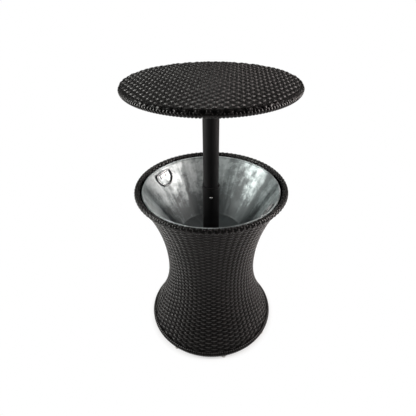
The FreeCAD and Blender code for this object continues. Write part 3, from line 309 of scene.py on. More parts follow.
def wicker_finish(name, settings):
    """Flat extruded strand: dark brown, finely grooved along its length, glossy where it lies
    open, with painted shade darkening its colour where it lies deep"""
    brightness, dulled = WICKERS[name]
    finish = new_finish(name)
    place = finish.place()
    tone = finish.attribute("tone")
    shade = finish.attribute("shade")
    along = finish.node("ShaderNodeUVMap", {"uv_map": "strand"})
    across = finish.part(along, 1)
    grain = finish.noise(finish.stretched(along, (60.0, 9.0, 1.0)), scale=1.0, detail=3.0)
    cloud = finish.noise(place, scale=9.0, detail=3.0)
    dust = finish.noise(place, scale=160.0, roughness=0.7).step(0.52, 0.78)
    # A brightness below 1 is painted shade that darkens this copy of the wicker
    dark = opaque(settings.wicker_dark, brightness)
    light = opaque(settings.wicker_light, brightness)
    mixed = finish.mix((tone * 0.6 + cloud * 0.5 + grain * 0.25).step(0.3, 1.0), dark, light)
    dusted = finish.mix(dust * 0.05, mixed, DUST)
    # Painted shade: the colour darkens to near-black where a strand lies deep in the weave and
    # towards its edges
    with_painted_shade = finish.mix(shade, dusted, PAINTED_SHADE)
    grooves = (across * (math.tau * settings.grooves)).sine()
    height = grooves * 0.45 + grain * 0.7 + finish.noise(place, scale=420.0) * 0.3
    roughness = (grain * 0.5 + cloud * 0.5).step(0.2, 0.8, settings.gloss_low, settings.gloss_high)
    return finish.surface({
        "Base Color": with_painted_shade,
        "Roughness": roughness + shade * 0.3,
        "IOR": 1.5,
        "Specular IOR Level": settings.sheen,
        "Coat Weight": (1.0 - shade.step(0.0, 0.9)) * (1.0 - dulled),
        "Coat Roughness": settings.coat_gloss,
        "Normal": finish.bump(height, 0.25, 0.0004),
    })


def galvanised_finish(name, settings):
    """Hot-dip zinc on sheet: spangled, with long streaks up the wall, and with painted shade
    darkening it low down and to the right"""
    finish = new_finish(name)
    place = finish.place()
    swirl = finish.vector("ADD", place, finish.noise(place, scale=38.0) * 0.014)
    crystals = finish.cells(swirl, settings.spangle_scale)
    tint = finish.part(crystals, 0)
    turn = finish.part(crystals, 1)
    flake = finish.part(finish.cells(swirl, settings.spangle_scale * 2.6), 0)
    runs = finish.noise(finish.around(place, turns=4.2, rise=4.5), scale=1.0, detail=3.0)
    streaks = finish.noise(finish.around(place, turns=15.0, rise=12.0), 1.0, 3.0, 0.55)
    blotches = finish.noise(place, scale=22.0, detail=4.0, roughness=0.6)
    # Painted shade: the zinc darkens towards the floor of the bucket, under the top
    low = finish.part(place, 2).step(BUCKET_UNDERSIDE, BUCKET_UNDERSIDE + 0.12, 0.22, 0.0)
    # Painted shade: the zinc darkens towards the right side
    painted_right_shade = finish.part(place, 0).step(-0.06, 0.08, 0.0, 0.075)
    cast = runs * 0.80 + streaks * 0.22 + blotches * 0.38
    shade = cast + tint * 0.10 + flake * 0.07 - low - painted_right_shade
    colour = finish.node("ShaderNodeValToRGB", {"stops": [
        (0.0, opaque(settings.zinc_dark)),
        (0.5, opaque(settings.zinc_middle)),
        (1.0, opaque(settings.zinc_light)),
    ]}, {"Fac": shade.step(0.58, 0.98)})
    roughness = (blotches * 0.6 + turn * 0.15 + streaks * 0.4).step(0.38, 0.78, 0.60, 0.42)
    height = runs * 1.0 + streaks * 0.10 + blotches * 0.22 + tint * 0.02
    return finish.surface({
        "Base Color": colour,
        "Metallic": (blotches * 0.5 + runs * 0.5).step(0.42, 0.60, 0.20, 0.65),
        "Roughness": roughness,
        "Normal": finish.bump(height, 0.9, 0.0035),
    })


def coat_finish(name, colour, roughness, peel):
    """Powder coat: even colour, a little orange peel, and a light dust"""
    finish = new_finish(name)
    place = finish.place()
    cloud = finish.noise(place, scale=14.0, detail=3.0)
    peel_bumps = finish.noise(place, scale=520.0)
    dust = finish.noise(place, scale=130.0, detail=3.0, roughness=0.7).step(0.55, 0.75)
    lighter = opaque(colour, 1.7, 0.004)
    mixed = finish.mix(cloud.step(0.3, 0.75) * 0.7 + dust * 0.25, opaque(colour), lighter)
    return finish.surface({
        "Base Color": mixed,
        "Roughness": cloud.step(0.2, 0.8, roughness - 0.06, roughness + 0.08),
        "Specular IOR Level": 0.22,
        "Normal": finish.bump(peel_bumps, peel, 0.0005),
    })


def metal_finish(name, colour, roughness, brushed):
    """Plated or bare steel, drawn along its length, a little stained"""
    finish = new_finish(name)
    place = finish.place()
    lines = finish.noise(finish.stretched(place, brushed), scale=1.0, detail=3.0)
    stain = finish.noise(place, scale=32.0, detail=4.0, roughness=0.6)
    darker = opaque(colour, 0.62)
    mixed = finish.mix((stain * 0.7 + lines * 0.4).step(0.35, 0.8), opaque(colour), darker)
    worn = (stain * 0.5 + lines * 0.5).step(0.3, 0.75, roughness - 0.08, roughness + 0.12)
    return finish.surface({
        "Base Color": mixed,
        "Metallic": 1.0,
        "Roughness": worn,
        "Normal": finish.bump(lines + stain * 0.5, 0.18, 0.0006),
    })


def moulded_finish(name, colour, roughness, grain):
    """Moulded plastic or rubber with a fine sparked grain"""
    finish = new_finish(name)
    place = finish.place()
    speckle = finish.noise(place, grain)
    cloud = finish.noise(place, scale=25.0, detail=3.0)
    lighter = opaque(colour, 1.5, 0.01)
    return finish.surface({
        "Base Color": finish.mix(cloud.step(0.35, 0.7), opaque(colour), lighter),
        "Roughness": speckle.step(0.2, 0.8, roughness - 0.05, roughness + 0.08),
        "Specular IOR Level": 0.2,
        "Normal": finish.bump(speckle, 0.4, 0.0004),
    })


def finish_named(name, build, *details):
    """A material by name, built the first time it is asked for"""
    return bpy.data.materials.get(name) or build(name, *details)


def dress(table, build):
    """Give frame nodes the finishes of a table"""
    for name, colour, roughness, grain, nodes in table:
        material = finish_named(name, build, colour, roughness, grain)
        for node in nodes:
            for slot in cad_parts[node].material_slots:
                slot.material = material


# Strands

def strand_section(shape, width, thickness, crown):
    """Points of a strand's section, across and outwards, with a domed face"""
    shoulder, swell, edge, back = shape
    half = width / 2
    face = thickness / 2
    return np.array([
        (-half, -face * edge),
        (-half * shoulder, face + crown * swell),
        (0.0, face + crown),
        (half * shoulder, face + crown * swell),
        (half, -face * edge),
        (0.0, -face * back),
    ])


def flattened(wave):
    """A cosine wave with its tops and bottoms made flatter, as a strand lies on another"""
    return np.sin(QUARTER * wave)


class Weaving:
    """Strands gathered into one mesh"""

    def __init__(self, section, seed, edge_shade=0.3):
        self.section = section
        self.edge_shade = edge_shade
        self.random = np.random.RandomState(seed)
        self.points = []
        self.faces = []
        self.maps = []
        self.tones = []
        self.shades = []
        self.count = 0

    def add(self, path, outwards, closed, spread=1.0, shade=0.0):
        """Carry the section along a path, its back inside, its width times spread and its painted
        shade
        0 where it lies open and 1 where it lies deep"""
        ahead = np.roll(path, -1, axis=0) - np.roll(path, 1, axis=0)
        if not closed:
            ahead[0] = path[1] - path[0]
            ahead[-1] = path[-1] - path[-2]
        ahead /= np.linalg.norm(ahead, axis=1)[:, None]
        across = np.cross(outwards, ahead)
        across /= np.linalg.norm(across, axis=1)[:, None]
        face = np.cross(ahead, across)
        sides = len(self.section)
        rings = len(path)
        wide = across * np.broadcast_to(spread, rings)[:, None]
        offsets = (wide[:, None] * self.section[None, :, :1]
                   + face[:, None] * self.section[None, :, 1:])
        self.points.append((path[:, None] + offsets).reshape(-1, 3))
        spans = rings if closed else rings - 1
        start = np.arange(spans)[:, None] * sides
        following = (np.arange(spans)[:, None] + 1) % rings * sides
        side = np.arange(sides)[None, :]
        after = (side + 1) % sides
        quads = np.stack([start + side, following + side, following + after, start + after], axis=2)
        self.faces.append(quads.reshape(-1, 4) + self.count)
        steps = np.linalg.norm(np.roll(path, -1, axis=0) - path, axis=1)[:spans]
        far = np.cumsum(steps)
        near = far - steps
        turn = np.arange(sides) / sides
        further = turn + 1 / sides
        corners = np.empty((spans, sides, 4, 2))
        corners[..., 0] = np.stack([near, far, far, near], axis=1)[:, None]
        corners[..., 1] = np.stack([turn, turn, further, further], axis=1)
        self.maps.append(corners.reshape(-1, 2))
        self.tones.append(np.full(rings * sides, self.random.uniform()))
        # Painted shade at each point: the strand's own shade, darker towards the section's edges
        edge = np.abs(self.section[:, 0]) / self.section[:, 0].max()
        deep = np.broadcast_to(shade, rings)[:, None] + self.edge_shade * edge[None, :] ** 2
        self.shades.append(np.clip(deep, 0.0, 1.0).ravel())
        if not closed:
            self.caps(rings, sides)
        self.count += rings * sides

    def caps(self, rings, sides):
        """Close the two ends of an open strand with two quads each"""
        for first, turned in ((self.count, False), (self.count + (rings - 1) * sides, True)):
            for quad in ((0, 1, 2, 5), (2, 3, 4, 5)):
                face = [first + number for number in quad]
                self.faces.append(np.array([face[::-1] if turned else face]))
                self.maps.append(np.zeros((4, 2)))

    def build(self, name, material):
        """Make the gathered strands one object"""
        points = np.concatenate(self.points)
        faces = np.concatenate(self.faces)
        mesh = bpy.data.meshes.new(name)
        mesh.vertices.add(len(points))
        mesh.vertices.foreach_set("co", points.astype(np.float32).ravel())
        mesh.loops.add(faces.size)
        mesh.loops.foreach_set("vertex_index", faces.astype(np.int32).ravel())
        mesh.polygons.add(len(faces))
        mesh.polygons.foreach_set("loop_start", np.arange(0, faces.size, 4, dtype=np.int32))
        mesh.update(calc_edges=True)
        layer = mesh.uv_layers.new(name="strand")
        layer.data.foreach_set("uv", np.concatenate(self.maps).astype(np.float32).ravel())
        # The shade attribute carries the painted shade into the wicker's colour
        for kind, values in (("tone", self.tones), ("shade", self.shades)):
            attribute = mesh.attributes.new(kind, "FLOAT", "POINT")
            attribute.data.foreach_set("value", np.concatenate(values).astype(np.float32))
        mesh.validate()
        mesh.shade_smooth()
        mesh.materials.append(material)
        made = bpy.data.objects.new(name, mesh)
        bpy.context.scene.collection.objects.link(made)
        return made


def polar(radius, azimuth, height):
    """Points from arrays of radius, azimuth and height"""
    return np.stack([radius * np.cos(azimuth), radius * np.sin(azimuth),
                     np.broadcast_to(height, np.shape(azimuth))], axis=-1)


def stand_profile(settings, count):
    """Radius, height and slope of the stand's outer face, at evenly spaced points up it"""
    waist = settings.waist_radius
    level = settings.waist_height
    rise = level - WEAVE_LOW
    spread = FOOT_RADIUS - waist
    straight = settings.foot_straight
    lower = (rise ** 2 + spread ** 2 - straight ** 2) / (2 * spread)
    upper_rise = WEAVE_HIGH - level
    upper_spread = RIM_RADIUS - waist
    upper = (upper_rise ** 2 + upper_spread ** 2) / (2 * upper_spread)
    slope = math.atan2(rise, lower - spread) + math.asin(lower / math.hypot(lower - spread, rise))
    height = np.linspace(WEAVE_LOW, WEAVE_HIGH, PROFILE_SAMPLES)
    drop = np.minimum(np.abs(height - level), lower)
    arc = waist + lower - np.sqrt(lower ** 2 - drop ** 2)
    line = FOOT_RADIUS + (height - WEAVE_LOW) / math.tan(slope)
    lift = np.clip(height - level, 0, upper)
    flare = waist + upper - np.sqrt(upper ** 2 - lift ** 2)
    touch = WEAVE_LOW + straight * math.sin(slope)
    radius = np.where(height < touch, line, np.where(height < level, arc, flare))
    length = np.concatenate([[0], np.cumsum(np.hypot(np.diff(radius), np.diff(height)))])
    even = np.linspace(0, length[-1], count)
    evenly = np.stack([np.interp(even, length, radius), np.interp(even, length, height)], axis=1)
    ahead = np.gradient(evenly, axis=0)
    ahead /= np.linalg.norm(ahead, axis=1)[:, None]
    outwards = np.stack([ahead[:, 1], -ahead[:, 0]], axis=1)
    return evenly, outwards, length[-1]


def on_roll(ring_radius, ring_height, radius, turn, azimuth):
    """Points and outward directions on a roll, from the turn about its own middle"""
    out = np.cos(turn)
    rise = np.sin(turn)
    path = polar(ring_radius + radius * out, azimuth, ring_height + radius * rise)
    return path, polar(out, azimuth, rise)


def wind_roll(wound, ring_radius, ring_height, radius, turns):
    """Wind a strand round and round a ring, at a radius for each step of a turn"""
    lean = 0.35
    for number in range(turns):
        azimuth = math.tau * (number + WINDING_TURN / math.tau * lean) / turns
        path, normal = on_roll(ring_radius, ring_height, radius, WINDING_TURN, azimuth)
        wound.add(path, normal, True)


def top_surface(radius):
    """Height and slope of the woven top's face at a radius, flat and then down round the edge"""
    flat = EDGE_HEIGHT + EDGE_ROLL_RADIUS - PANEL_SUNK
    bend = EDGE_ROLL_RADIUS - EDGE_SUNK
    out = np.clip(radius - EDGE_RADIUS, 0, bend * STEEPEST)
    level = np.sqrt(bend ** 2 - out ** 2)
    return flat - (bend - level), -out / level


def top_strand(line, end, spacing, phase, pitch, depth, turn):
    """Path, outward directions and painted shade of one strand across the top"""
    count = max(5, int(2 * end / spacing))
    share = np.linspace(-1, 1, count)
    along = end * share
    wave = np.cos(math.pi * (along / pitch) + phase)
    points = np.stack([along, np.full(count, line)], axis=1)
    radius = np.hypot(points[:, 0], points[:, 1])
    height, slope = top_surface(radius)
    steep = 1 / np.sqrt(1 + slope ** 2)
    unit = points / np.maximum(radius, 1e-9)[:, None]
    normal = np.concatenate([-unit * (slope * steep)[:, None], steep[:, None]], axis=1)
    path = np.concatenate([points, height[:, None]], axis=1)
    path += normal * (TOP_LIFT * wave - depth)[:, None]
    return spun(path, turn), spun(normal, turn), (1.0 - wave) * 0.5


def spun(vectors, turn):
    """Vectors turned about Z"""
    sine = math.sin(turn)
    cosine = math.cos(turn)
    matrix = np.array([[cosine, sine, 0], [-sine, cosine, 0], [0, 0, 1]])
    return vectors @ matrix


def place_weaving(made, body, node):
    """Let a woven piece stand for its plain solid"""
    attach(made, body)
    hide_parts(node)


# Turned sheet metal

def arc_points(across, height, radius, first, last, count):
    """Points of an arc in the (radius, height) plane, from one angle in degrees to another"""
    angles = np.radians(np.linspace(first, last, count))
    return [(across + radius * math.cos(a), height + radius * math.sin(a)) for a in angles]


def turned_shell(name, outline, segments):
    """Turn a closed outline about the table's axis, ring by ring"""
    bpy.ops.object.select_all(action="DESELECT")
    radius, height = outline[0]
    bpy.ops.mesh.primitive_circle_add(vertices=segments, radius=radius, location=(0, 0, height))
    bpy.ops.object.transform_apply(location=True)
    made = bpy.context.object
    made.name = name
    bpy.ops.object.mode_set(mode="EDIT")
    bpy.ops.mesh.select_all(action="SELECT")
    for across, level in outline[1:] + outline[:1]:
        bpy.ops.mesh.extrude_edges_move(TRANSFORM_OT_translate={"value": (0, 0, level - height)})
        share = across / radius
        bpy.ops.transform.resize(value=(share, share, 1), center_override=(0, 0, level))
        radius = across
        height = level
    bpy.ops.mesh.select_all(action="SELECT")
    bpy.ops.mesh.remove_doubles(threshold=1e-6)
    bpy.ops.mesh.normals_make_consistent(inside=False)
    bpy.ops.object.mode_set(mode="OBJECT")
    bpy.ops.object.shade_smooth_by_angle(angle=math.radians(40))
    return made


# Lamps and background

def area_lamp(name, place, aim, size, power, tint):
    """A soft box at a place, turned to its aim"""
    lamp = bpy.data.lights.new(name, "AREA")
    lamp.shape = "RECTANGLE"
    lamp.size, lamp.size_y = size
    lamp.energy = power
    lamp.color = tint
    made = bpy.data.objects.new(name, lamp)
    bpy.context.scene.collection.objects.link(made)
    made.location = place
    made.rotation_euler = (Vector(aim) - Vector(place)).to_track_quat("-Z", "Y").to_euler()


def background_rays(finish, mirrored):
    """1 for a camera ray, the mirrored share for a glossy or transmission ray, and 0 elsewhere"""
    kind = "ShaderNodeLightPath"
    seen = finish.node(kind, None, None, "Is Camera Ray")
    glossy = finish.node(kind, None, None, "Is Glossy Ray")
    through = finish.node(kind, None, None, "Is Transmission Ray")
    return seen, seen.largest(glossy.largest(through) * mirrored)


# Settings

def length_property(name, description, default):
    return bpy.props.FloatProperty(name=name, description=description, default=default,
                                   min=0.0, precision=5, subtype="DISTANCE", unit="LENGTH")


def count_property(name, description, default):
    return bpy.props.IntProperty(name=name, description=description, default=default, min=1)


def share_property(name, description, default):
    return bpy.props.FloatProperty(name=name, description=description, default=default,
                                   min=0.0, max=1.0, subtype="FACTOR")


def angle_property(name, description, degrees):
    return bpy.props.FloatProperty(name=name, description=description,
                                   default=math.radians(degrees), subtype="ANGLE",
                                   unit="ROTATION")


def power_property(name, description, default):
    return bpy.props.FloatProperty(name=name, description=description, default=default,
                                   min=0.0, subtype="POWER", unit="POWER")


def colour_property(name, description, default):
    return bpy.props.FloatVectorProperty(name=name, description=description, default=default,
                                         size=3, min=0.0, max=1.0, subtype="COLOR")


class WickerSettings(bpy.types.PropertyGroup):
    """Sizes and colours of the woven strands"""

    waist_radius: length_property("Waist radius", "Outer radius of the weave at the waist", 0.1485)
    waist_height: length_property("Waist height", "Floor to the waist", 0.258)
    foot_straight: length_property("Foot straight", "Straight stretch above the foot", 0.0823)
    stakes: count_property("Stakes", "Upright stakes round the stand", 62)
    row_pitch: length_property("Row pitch", "From one woven row to the next", 0.0078)
    strand_width: length_property("Strand width", "Width of a weaver", 0.0081)
    strand_thickness: length_property("Strand thickness", "Thickness of a weaver", 0.0011)
    strand_crown: length_property("Crown", "How far a strand's face is domed", 0.0007)
    weave_lift: length_property("Weave lift", "How far a weaver moves in and out", 0.0019)
    stake_width: length_property("Stake width", "Width of a stake's section", 0.0120)
    stake_thickness: length_property("Stake thickness", "Thickness of a stake's edges", 0.0010)
    stake_crown: length_property("Stake crown", "How far a stake's face is domed", 0.0016)
    stake_depth: length_property("Stake depth", "How far a stake lies behind the weavers", 0.0016)
    stake_share: share_property("Stake share", "Share of its place that a stake fills", 1.0)
    rim_turns: count_property("Rim turns", "Turns of strand round the rim", 178)
    edge_turns: count_property("Edge turns", "Turns of strand round the top's edge", 176)
    top_pitch: length_property("Top strand pitch", "Between broad strands of the top", 0.0113)
    top_width: length_property("Top strand width", "Width of a broad strand of the top", 0.0092)
    top_turn: angle_property("Top turn", "Turn of the top's grid", 4)
    grooves: count_property("Grooves", "Fine grooves round a strand's section", 14)
    wicker_dark: colour_property("Dark wicker", "Darkest strand", (0.0030, 0.0026, 0.0025))
    wicker_light: colour_property("Light wicker", "Lightest strand", (0.0115, 0.0093, 0.0086))
    sheen: share_property("Sheen", "How much a strand's body mirrors", 0.12)
    coat_gloss: share_property("Skin gloss", "Roughness of a strand's skin", 0.14)
    gloss_low: share_property("Smoothest wicker", "Roughness of the smoothest strand", 0.30)
    gloss_high: share_property("Roughest wicker", "Roughness of the roughest strand", 0.50)


class BucketSettings(bpy.types.PropertyGroup):
    """Sizes and colours of the galvanised bucket"""

    sheet: length_property("Sheet", "Thickness of the bucket's sheet", 0.0009)
    bead: length_property("Bead", "Radius of the rolled bead", 0.003)
    floor_radius: length_property("Floor radius", "Outer radius at the floor", 0.102)
    floor_fillet: length_property("Floor fillet", "Inner radius of the floor's corner", 0.006)
    segments: count_property("Segments", "Steps round the bucket", 256)
    spangle_scale: bpy.props.FloatProperty(name="Spangle scale", default=62.0, min=1.0,
                                           description="Zinc crystals in a metre")
    # The dark zinc gives the zinc's own dark patches and also its painted shade low down and to the
    # right
    zinc_dark: colour_property("Dark zinc", "Dull bloom", (0.16, 0.18, 0.185))
    zinc_middle: colour_property("Middle zinc", "Most of the zinc", (0.39, 0.44, 0.445))
    zinc_light: colour_property("Light zinc", "Bright streaks", (0.60, 0.65, 0.66))


class StudioSettings(bpy.types.PropertyGroup):
    """Camera and light"""

    camera_distance: length_property("Distance", "Camera's distance from the axis", 0.8696)
    camera_height: length_property("Height", "Camera's height", 1.0736)
    camera_tilt: angle_property("Tilt", "How far the camera looks down", 34.746)
    camera_turn: angle_property("Turn", "How far it looks to the left", 0.637)
    camera_roll: angle_property("Roll", "How far it leans clockwise", 0.49)
    lens: bpy.props.FloatProperty(name="Lens", description="Focal length on 36 mm",
                                  default=28.90, min=1.0, subtype="DISTANCE_CAMERA")
    side_light: power_property("Side light", "Power of a side lamp", 30.0)
    top_light: power_property("Top light", "Power of a lamp behind", 3.2)
    left_tint: colour_property("Left tint", "Colour of the left lamps", (1.0, 0.99, 0.95))
    right_tint: colour_property("Right tint", "Colour of the right lamps", (1.0, 0.91, 0.88))
    room_light: share_property("Room light", "Strength of the room's own light", 0.08)
    mirrored: share_property("Mirrored", "How bright the background is in a reflection", 0.13)
    front_shade: share_property("Front shade", "Brightness of the room behind the camera", 0.10)
    back_shade: share_property("Back shade", "Brightness of the room behind the table", 0.45)


# Operators

class StandWeavers(bpy.types.Operator):
    """Weave the rows that run round the stand, each over and under its stakes"""
    bl_idname = "cooler_table.stand_weavers"
    bl_label = "Stand Weavers"

    def execute(self, context):
        settings = context.scene.cooler_wicker
        profile, outwards, length = stand_profile(settings, ROW_SAMPLES)
        rows = round(length / settings.row_pitch)
        section = strand_section(FLAT, settings.strand_width, settings.strand_thickness,
                                 settings.strand_crown)
        steps = settings.stakes * STEPS_PER_STAKE
        azimuth = np.arange(steps) * math.tau / steps
        depth = settings.weave_lift + section[:, 1].max()
        wicker = finish_named("wicker_weaver", wicker_finish, settings)
        halves = [Weaving(section, 11), Weaving(section, 12)]
        for row in range(rows):
            index = int((row + 0.5) / rows * (ROW_SAMPLES - 1))
            radius, height = profile[index]
            across, rise = outwards[index]
            wave = np.cos(settings.stakes / 2 * azimuth + math.pi * row)
            offset = settings.weave_lift * wave - depth
            path = polar(radius + across * offset, azimuth, height + rise * offset)
            normal = polar(np.full(steps, across), azimuth, rise)
            # Painted shade: darker where the row dives behind a stake
            halves[row % 2].add(path, normal, True, 1.0, (1.0 - wave) * 0.5)
        for half, name in zip(halves, ("stand_weavers_odd", "stand_weavers_even")):
            made = half.build(name, wicker)
            place_weaving(made, "stand", "stand_weave")
        return {"FINISHED"}


class StandStakes(bpy.types.Operator):
    """Set the upright stakes that the rows pass in front of and behind"""
    bl_idname = "cooler_table.stand_stakes"
    bl_label = "Stand Stakes"

    def execute(self, context):
        settings = context.scene.cooler_wicker
        length = stand_profile(settings, 100)[2]
        rows = round(length / settings.row_pitch)
        profile, outwards, _ = stand_profile(settings, rows * 2 + 1)
        section = strand_section(ROUNDED, settings.stake_width, settings.stake_thickness,
                                 settings.stake_crown)
        stakes = Weaving(section, 21, STAKE_EDGE_SHADE)
        deep = settings.stake_depth + section[:, 1].max()
        place = profile - outwards * deep
        pitch = place[:, 0] * math.tau / settings.stakes
        spread = pitch * settings.stake_share / settings.stake_width
        for number in range(settings.stakes):
            angle = np.full(len(place), math.tau * number / settings.stakes)
            path = polar(place[:, 0], angle, place[:, 1])
            normal = polar(outwards[:, 0], angle, outwards[:, 1])
            stakes.add(path, normal, False, spread, STAKE_SHADE)
        wicker = finish_named("wicker_stake", wicker_finish, settings)
        place_weaving(stakes.build("stand_stakes", wicker), "stand", "stand_weave")
        return {"FINISHED"}


class RimBorder(bpy.types.Operator):
    """Wrap the rim with strands that pass over and under the cords laid along it"""
    bl_idname = "cooler_table.rim_border"
    bl_label = "Rim Border"

    def execute(self, context):
        settings = context.scene.cooler_wicker
        section = strand_section(FLAT, *RIM_STRAND)
        cords = 8
        lift = 0.0010
        lean = 0.5
        base = ROLL_RADIUS - lift - section[:, 1].max()
        wraps = Weaving(section, 31)
        turn = np.arange(cords * 4) * math.tau / (cords * 4)
        for number in range(settings.rim_turns):
            start = math.tau * number / settings.rim_turns
            wave = flattened(np.cos(cords / 2 * (turn - math.pi / cords) + math.pi * number))
            azimuth = start + turn / settings.rim_turns * lean
            path, normal = on_roll(RIM_RADIUS, RIM_HEIGHT, base + lift * wave, turn, azimuth)
            # Painted shade: darker where the wrap dives under a cord
            wraps.add(path, normal, True, 1.0, (1.0 - wave) * 0.5)
        wicker = finish_named("wicker_rim", wicker_finish, settings)
        place_weaving(wraps.build("rim_wraps", wicker), "stand", "rim_roll")
        laid = Weaving(strand_section(FLAT, *RIM_CORD), 32)
        around = np.arange(settings.rim_turns * 2) * math.tau / (settings.rim_turns * 2)
        for number in range(cords):
            turn = math.tau * (number + 0.5) / cords
            slip = turn / math.tau * lean
            wave = -np.cos(settings.rim_turns / 2 * around - math.pi * slip + math.pi * number)
            level = base - lift + lift * 0.5 * wave
            path, normal = on_roll(RIM_RADIUS, RIM_HEIGHT, level, np.full(len(around), turn),
                                   around)
            laid.add(path, normal, True)
        place_weaving(laid.build("rim_cords", wicker), "stand", "rim_roll")
        return {"FINISHED"}


class FootBorder(bpy.types.Operator):
    """Wind the foot ring with strand"""
    bl_idname = "cooler_table.foot_border"
    bl_label = "Foot Border"

    def execute(self, context):
        settings = context.scene.cooler_wicker
        section = strand_section(FLAT, *FOOT_STRAND)
        radius = np.full(WINDING_STEPS, ROLL_RADIUS - section[:, 1].max())
        turns = round(math.tau * FOOT_RADIUS / settings.row_pitch)
        wound = Weaving(section, 41)
        wind_roll(wound, FOOT_RADIUS, FOOT_HEIGHT, radius, turns)
        wicker = finish_named("wicker_foot", wicker_finish, settings)
        place_weaving(wound.build("foot_wraps", wicker), "stand", "foot_roll")
        return {"FINISHED"}


class TopBorder(bpy.types.Operator):
    """Wind the edge of the top with strand, lower where the woven panel laps over it"""
    bl_idname = "cooler_table.top_border"
    bl_label = "Top Border"

    def execute(self, context):
        settings = context.scene.cooler_wicker
        section = strand_section(FLAT, *EDGE_STRAND)
        under_panel = 0.0030
        lap_start = 0.02
        lap_length = 0.4
        lap = np.clip((np.sin(WINDING_TURN) - lap_start) / lap_length, 0, 1)
        reach = EDGE_ROLL_RADIUS - section[:, 1].max()
        radius = reach - under_panel * lap * lap * (3 - 2 * lap)
        wound = Weaving(section, 51)
        wind_roll(wound, EDGE_RADIUS, EDGE_HEIGHT, radius, settings.edge_turns)
        wicker = finish_named("wicker_edge", wicker_finish, settings)
        place_weaving(wound.build("top_edge_wraps", wicker), "table", "table_roll")
        return {"FINISHED"}


class TopPanel(bpy.types.Operator):
    """Weave the top: broad strands over two and under two of the strands that cross them"""
    bl_idname = "cooler_table.top_panel"
    bl_label = "Top Panel"

    def execute(self, context):
        settings = context.scene.cooler_wicker
        wicker = finish_named("wicker_top", wicker_finish, settings)
        reach = EDGE_RADIUS + EDGE_ROLL_RADIUS * PANEL_REACH
        broad = strand_section(FLAT, settings.top_width, BROAD_THICKNESS, BROAD_CROWN)
        depth = TOP_LIFT + broad[:, 1].max()
        rows = Weaving(strand_section(FLAT, *CROSS_STRAND), 61)
        half = int(reach / settings.row_pitch)
        for number in range(-half, half):
            line = (number + 0.5) * settings.row_pitch
            if abs(line) > reach - settings.strand_width / 2:
                continue
            end = math.sqrt(reach ** 2 - line ** 2)
            phase = math.pi * ((number // 2) % 2)
            path, normal, shade = top_strand(line, end, CROSS_STEP, phase, settings.top_pitch,
                                             depth, -settings.top_turn)
            rows.add(path, normal, False, 1.0, shade)
        place_weaving(rows.build("top_cross_strands", wicker), "table", "table_weave")
        columns = Weaving(broad, 62)
        half = int(reach / settings.top_pitch) + 1
        for number in range(-half, half + 1):
            line = number * settings.top_pitch
            if abs(line) > reach - settings.top_width / 2:
                continue
            end = math.sqrt(reach ** 2 - line ** 2)
            phase = math.pi * (number % 2 + 1) - QUARTER
            path, normal, shade = top_strand(-line, end, BROAD_STEP, phase,
                                             settings.row_pitch * 2, depth,
                                             -settings.top_turn - QUARTER)
            columns.add(path, normal, False, 1.0, shade)
        place_weaving(columns.build("top_broad_strands", wicker), "table", "table_weave")
        return {"FINISHED"}


class BucketShell(bpy.types.Operator):
    """Turn the bucket: floor, corner, flared wall and rolled bead"""
    bl_idname = "cooler_table.bucket_shell"
    bl_label = "Bucket Shell"

    def execute(self, context):
        settings = context.scene.cooler_bucket
        low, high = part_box("bucket")
        bead = settings.bead
        top = high.z - bead
        bead_middle = high.x - bead
        clearance = 0.0003
        hole = SLEEVE_RADIUS + clearance
        sheet = settings.sheet
        slope = math.atan2(bead_middle - settings.floor_radius, top - low.z)
        wall = -math.degrees(slope)
        fillet = settings.floor_fillet
        floor = low.z + sheet
        lean = math.tan((QUARTER - slope) / 2)
        corner = settings.floor_radius - sheet / math.cos(slope) + sheet * math.tan(slope)
        inner_start = corner - fillet * lean
        outer_start = settings.floor_radius - (fillet + sheet) * lean
        bead_lap = 60
        bead_start = 180 + bead_lap - math.degrees(math.asin(sheet / bead / 2))
        outline = [(hole, floor)]
        outline += [(inner_start * share, floor) for share in FLOOR_RINGS]
        outline += arc_points(inner_start, floor + fillet, fillet, -90, wall, CORNER_STEPS)
        wall_foot = outline[-1]
        bead_arc = arc_points(bead_middle, top, bead, bead_start, -bead_lap, BEAD_STEPS)
        wall_top = bead_arc[0]
        for share in np.linspace(0, 1, WALL_STEPS)[1:-1]:
            outline.append((wall_foot[0] + (wall_top[0] - wall_foot[0]) * share,
                            wall_foot[1] + (wall_top[1] - wall_foot[1]) * share))
        outline += bead_arc
        outline += arc_points(outer_start, floor + fillet, fillet + sheet, wall, -90,
                              CORNER_STEPS)
        outline += [(hole, low.z)]
        made = turned_shell("bucket_turned", outline, settings.segments)
        made.data.materials.append(finish_named("zinc_sheet", galvanised_finish, settings))
        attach(made, "bucket")
        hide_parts("bucket")
        return {"FINISHED"}


class MetalFinishes(bpy.types.Operator):
    """Finish the steel: frame, mast, handles, straps and fastenings"""
    bl_idname = "cooler_table.metal_finishes"
    bl_label = "Metal Finishes"

    def execute(self, context):
        dress(COATS, coat_finish)
        dress(METALS, metal_finish)
        return {"FINISHED"}


class MouldedFinishes(bpy.types.Operator):
    """Finish the plastic bushes and glides and the rubber seal and buffers"""
    bl_idname = "cooler_table.moulded_finishes"
    bl_label = "Moulded Finishes"

    def execute(self, context):
        dress(MOULDINGS, moulded_finish)
        return {"FINISHED"}


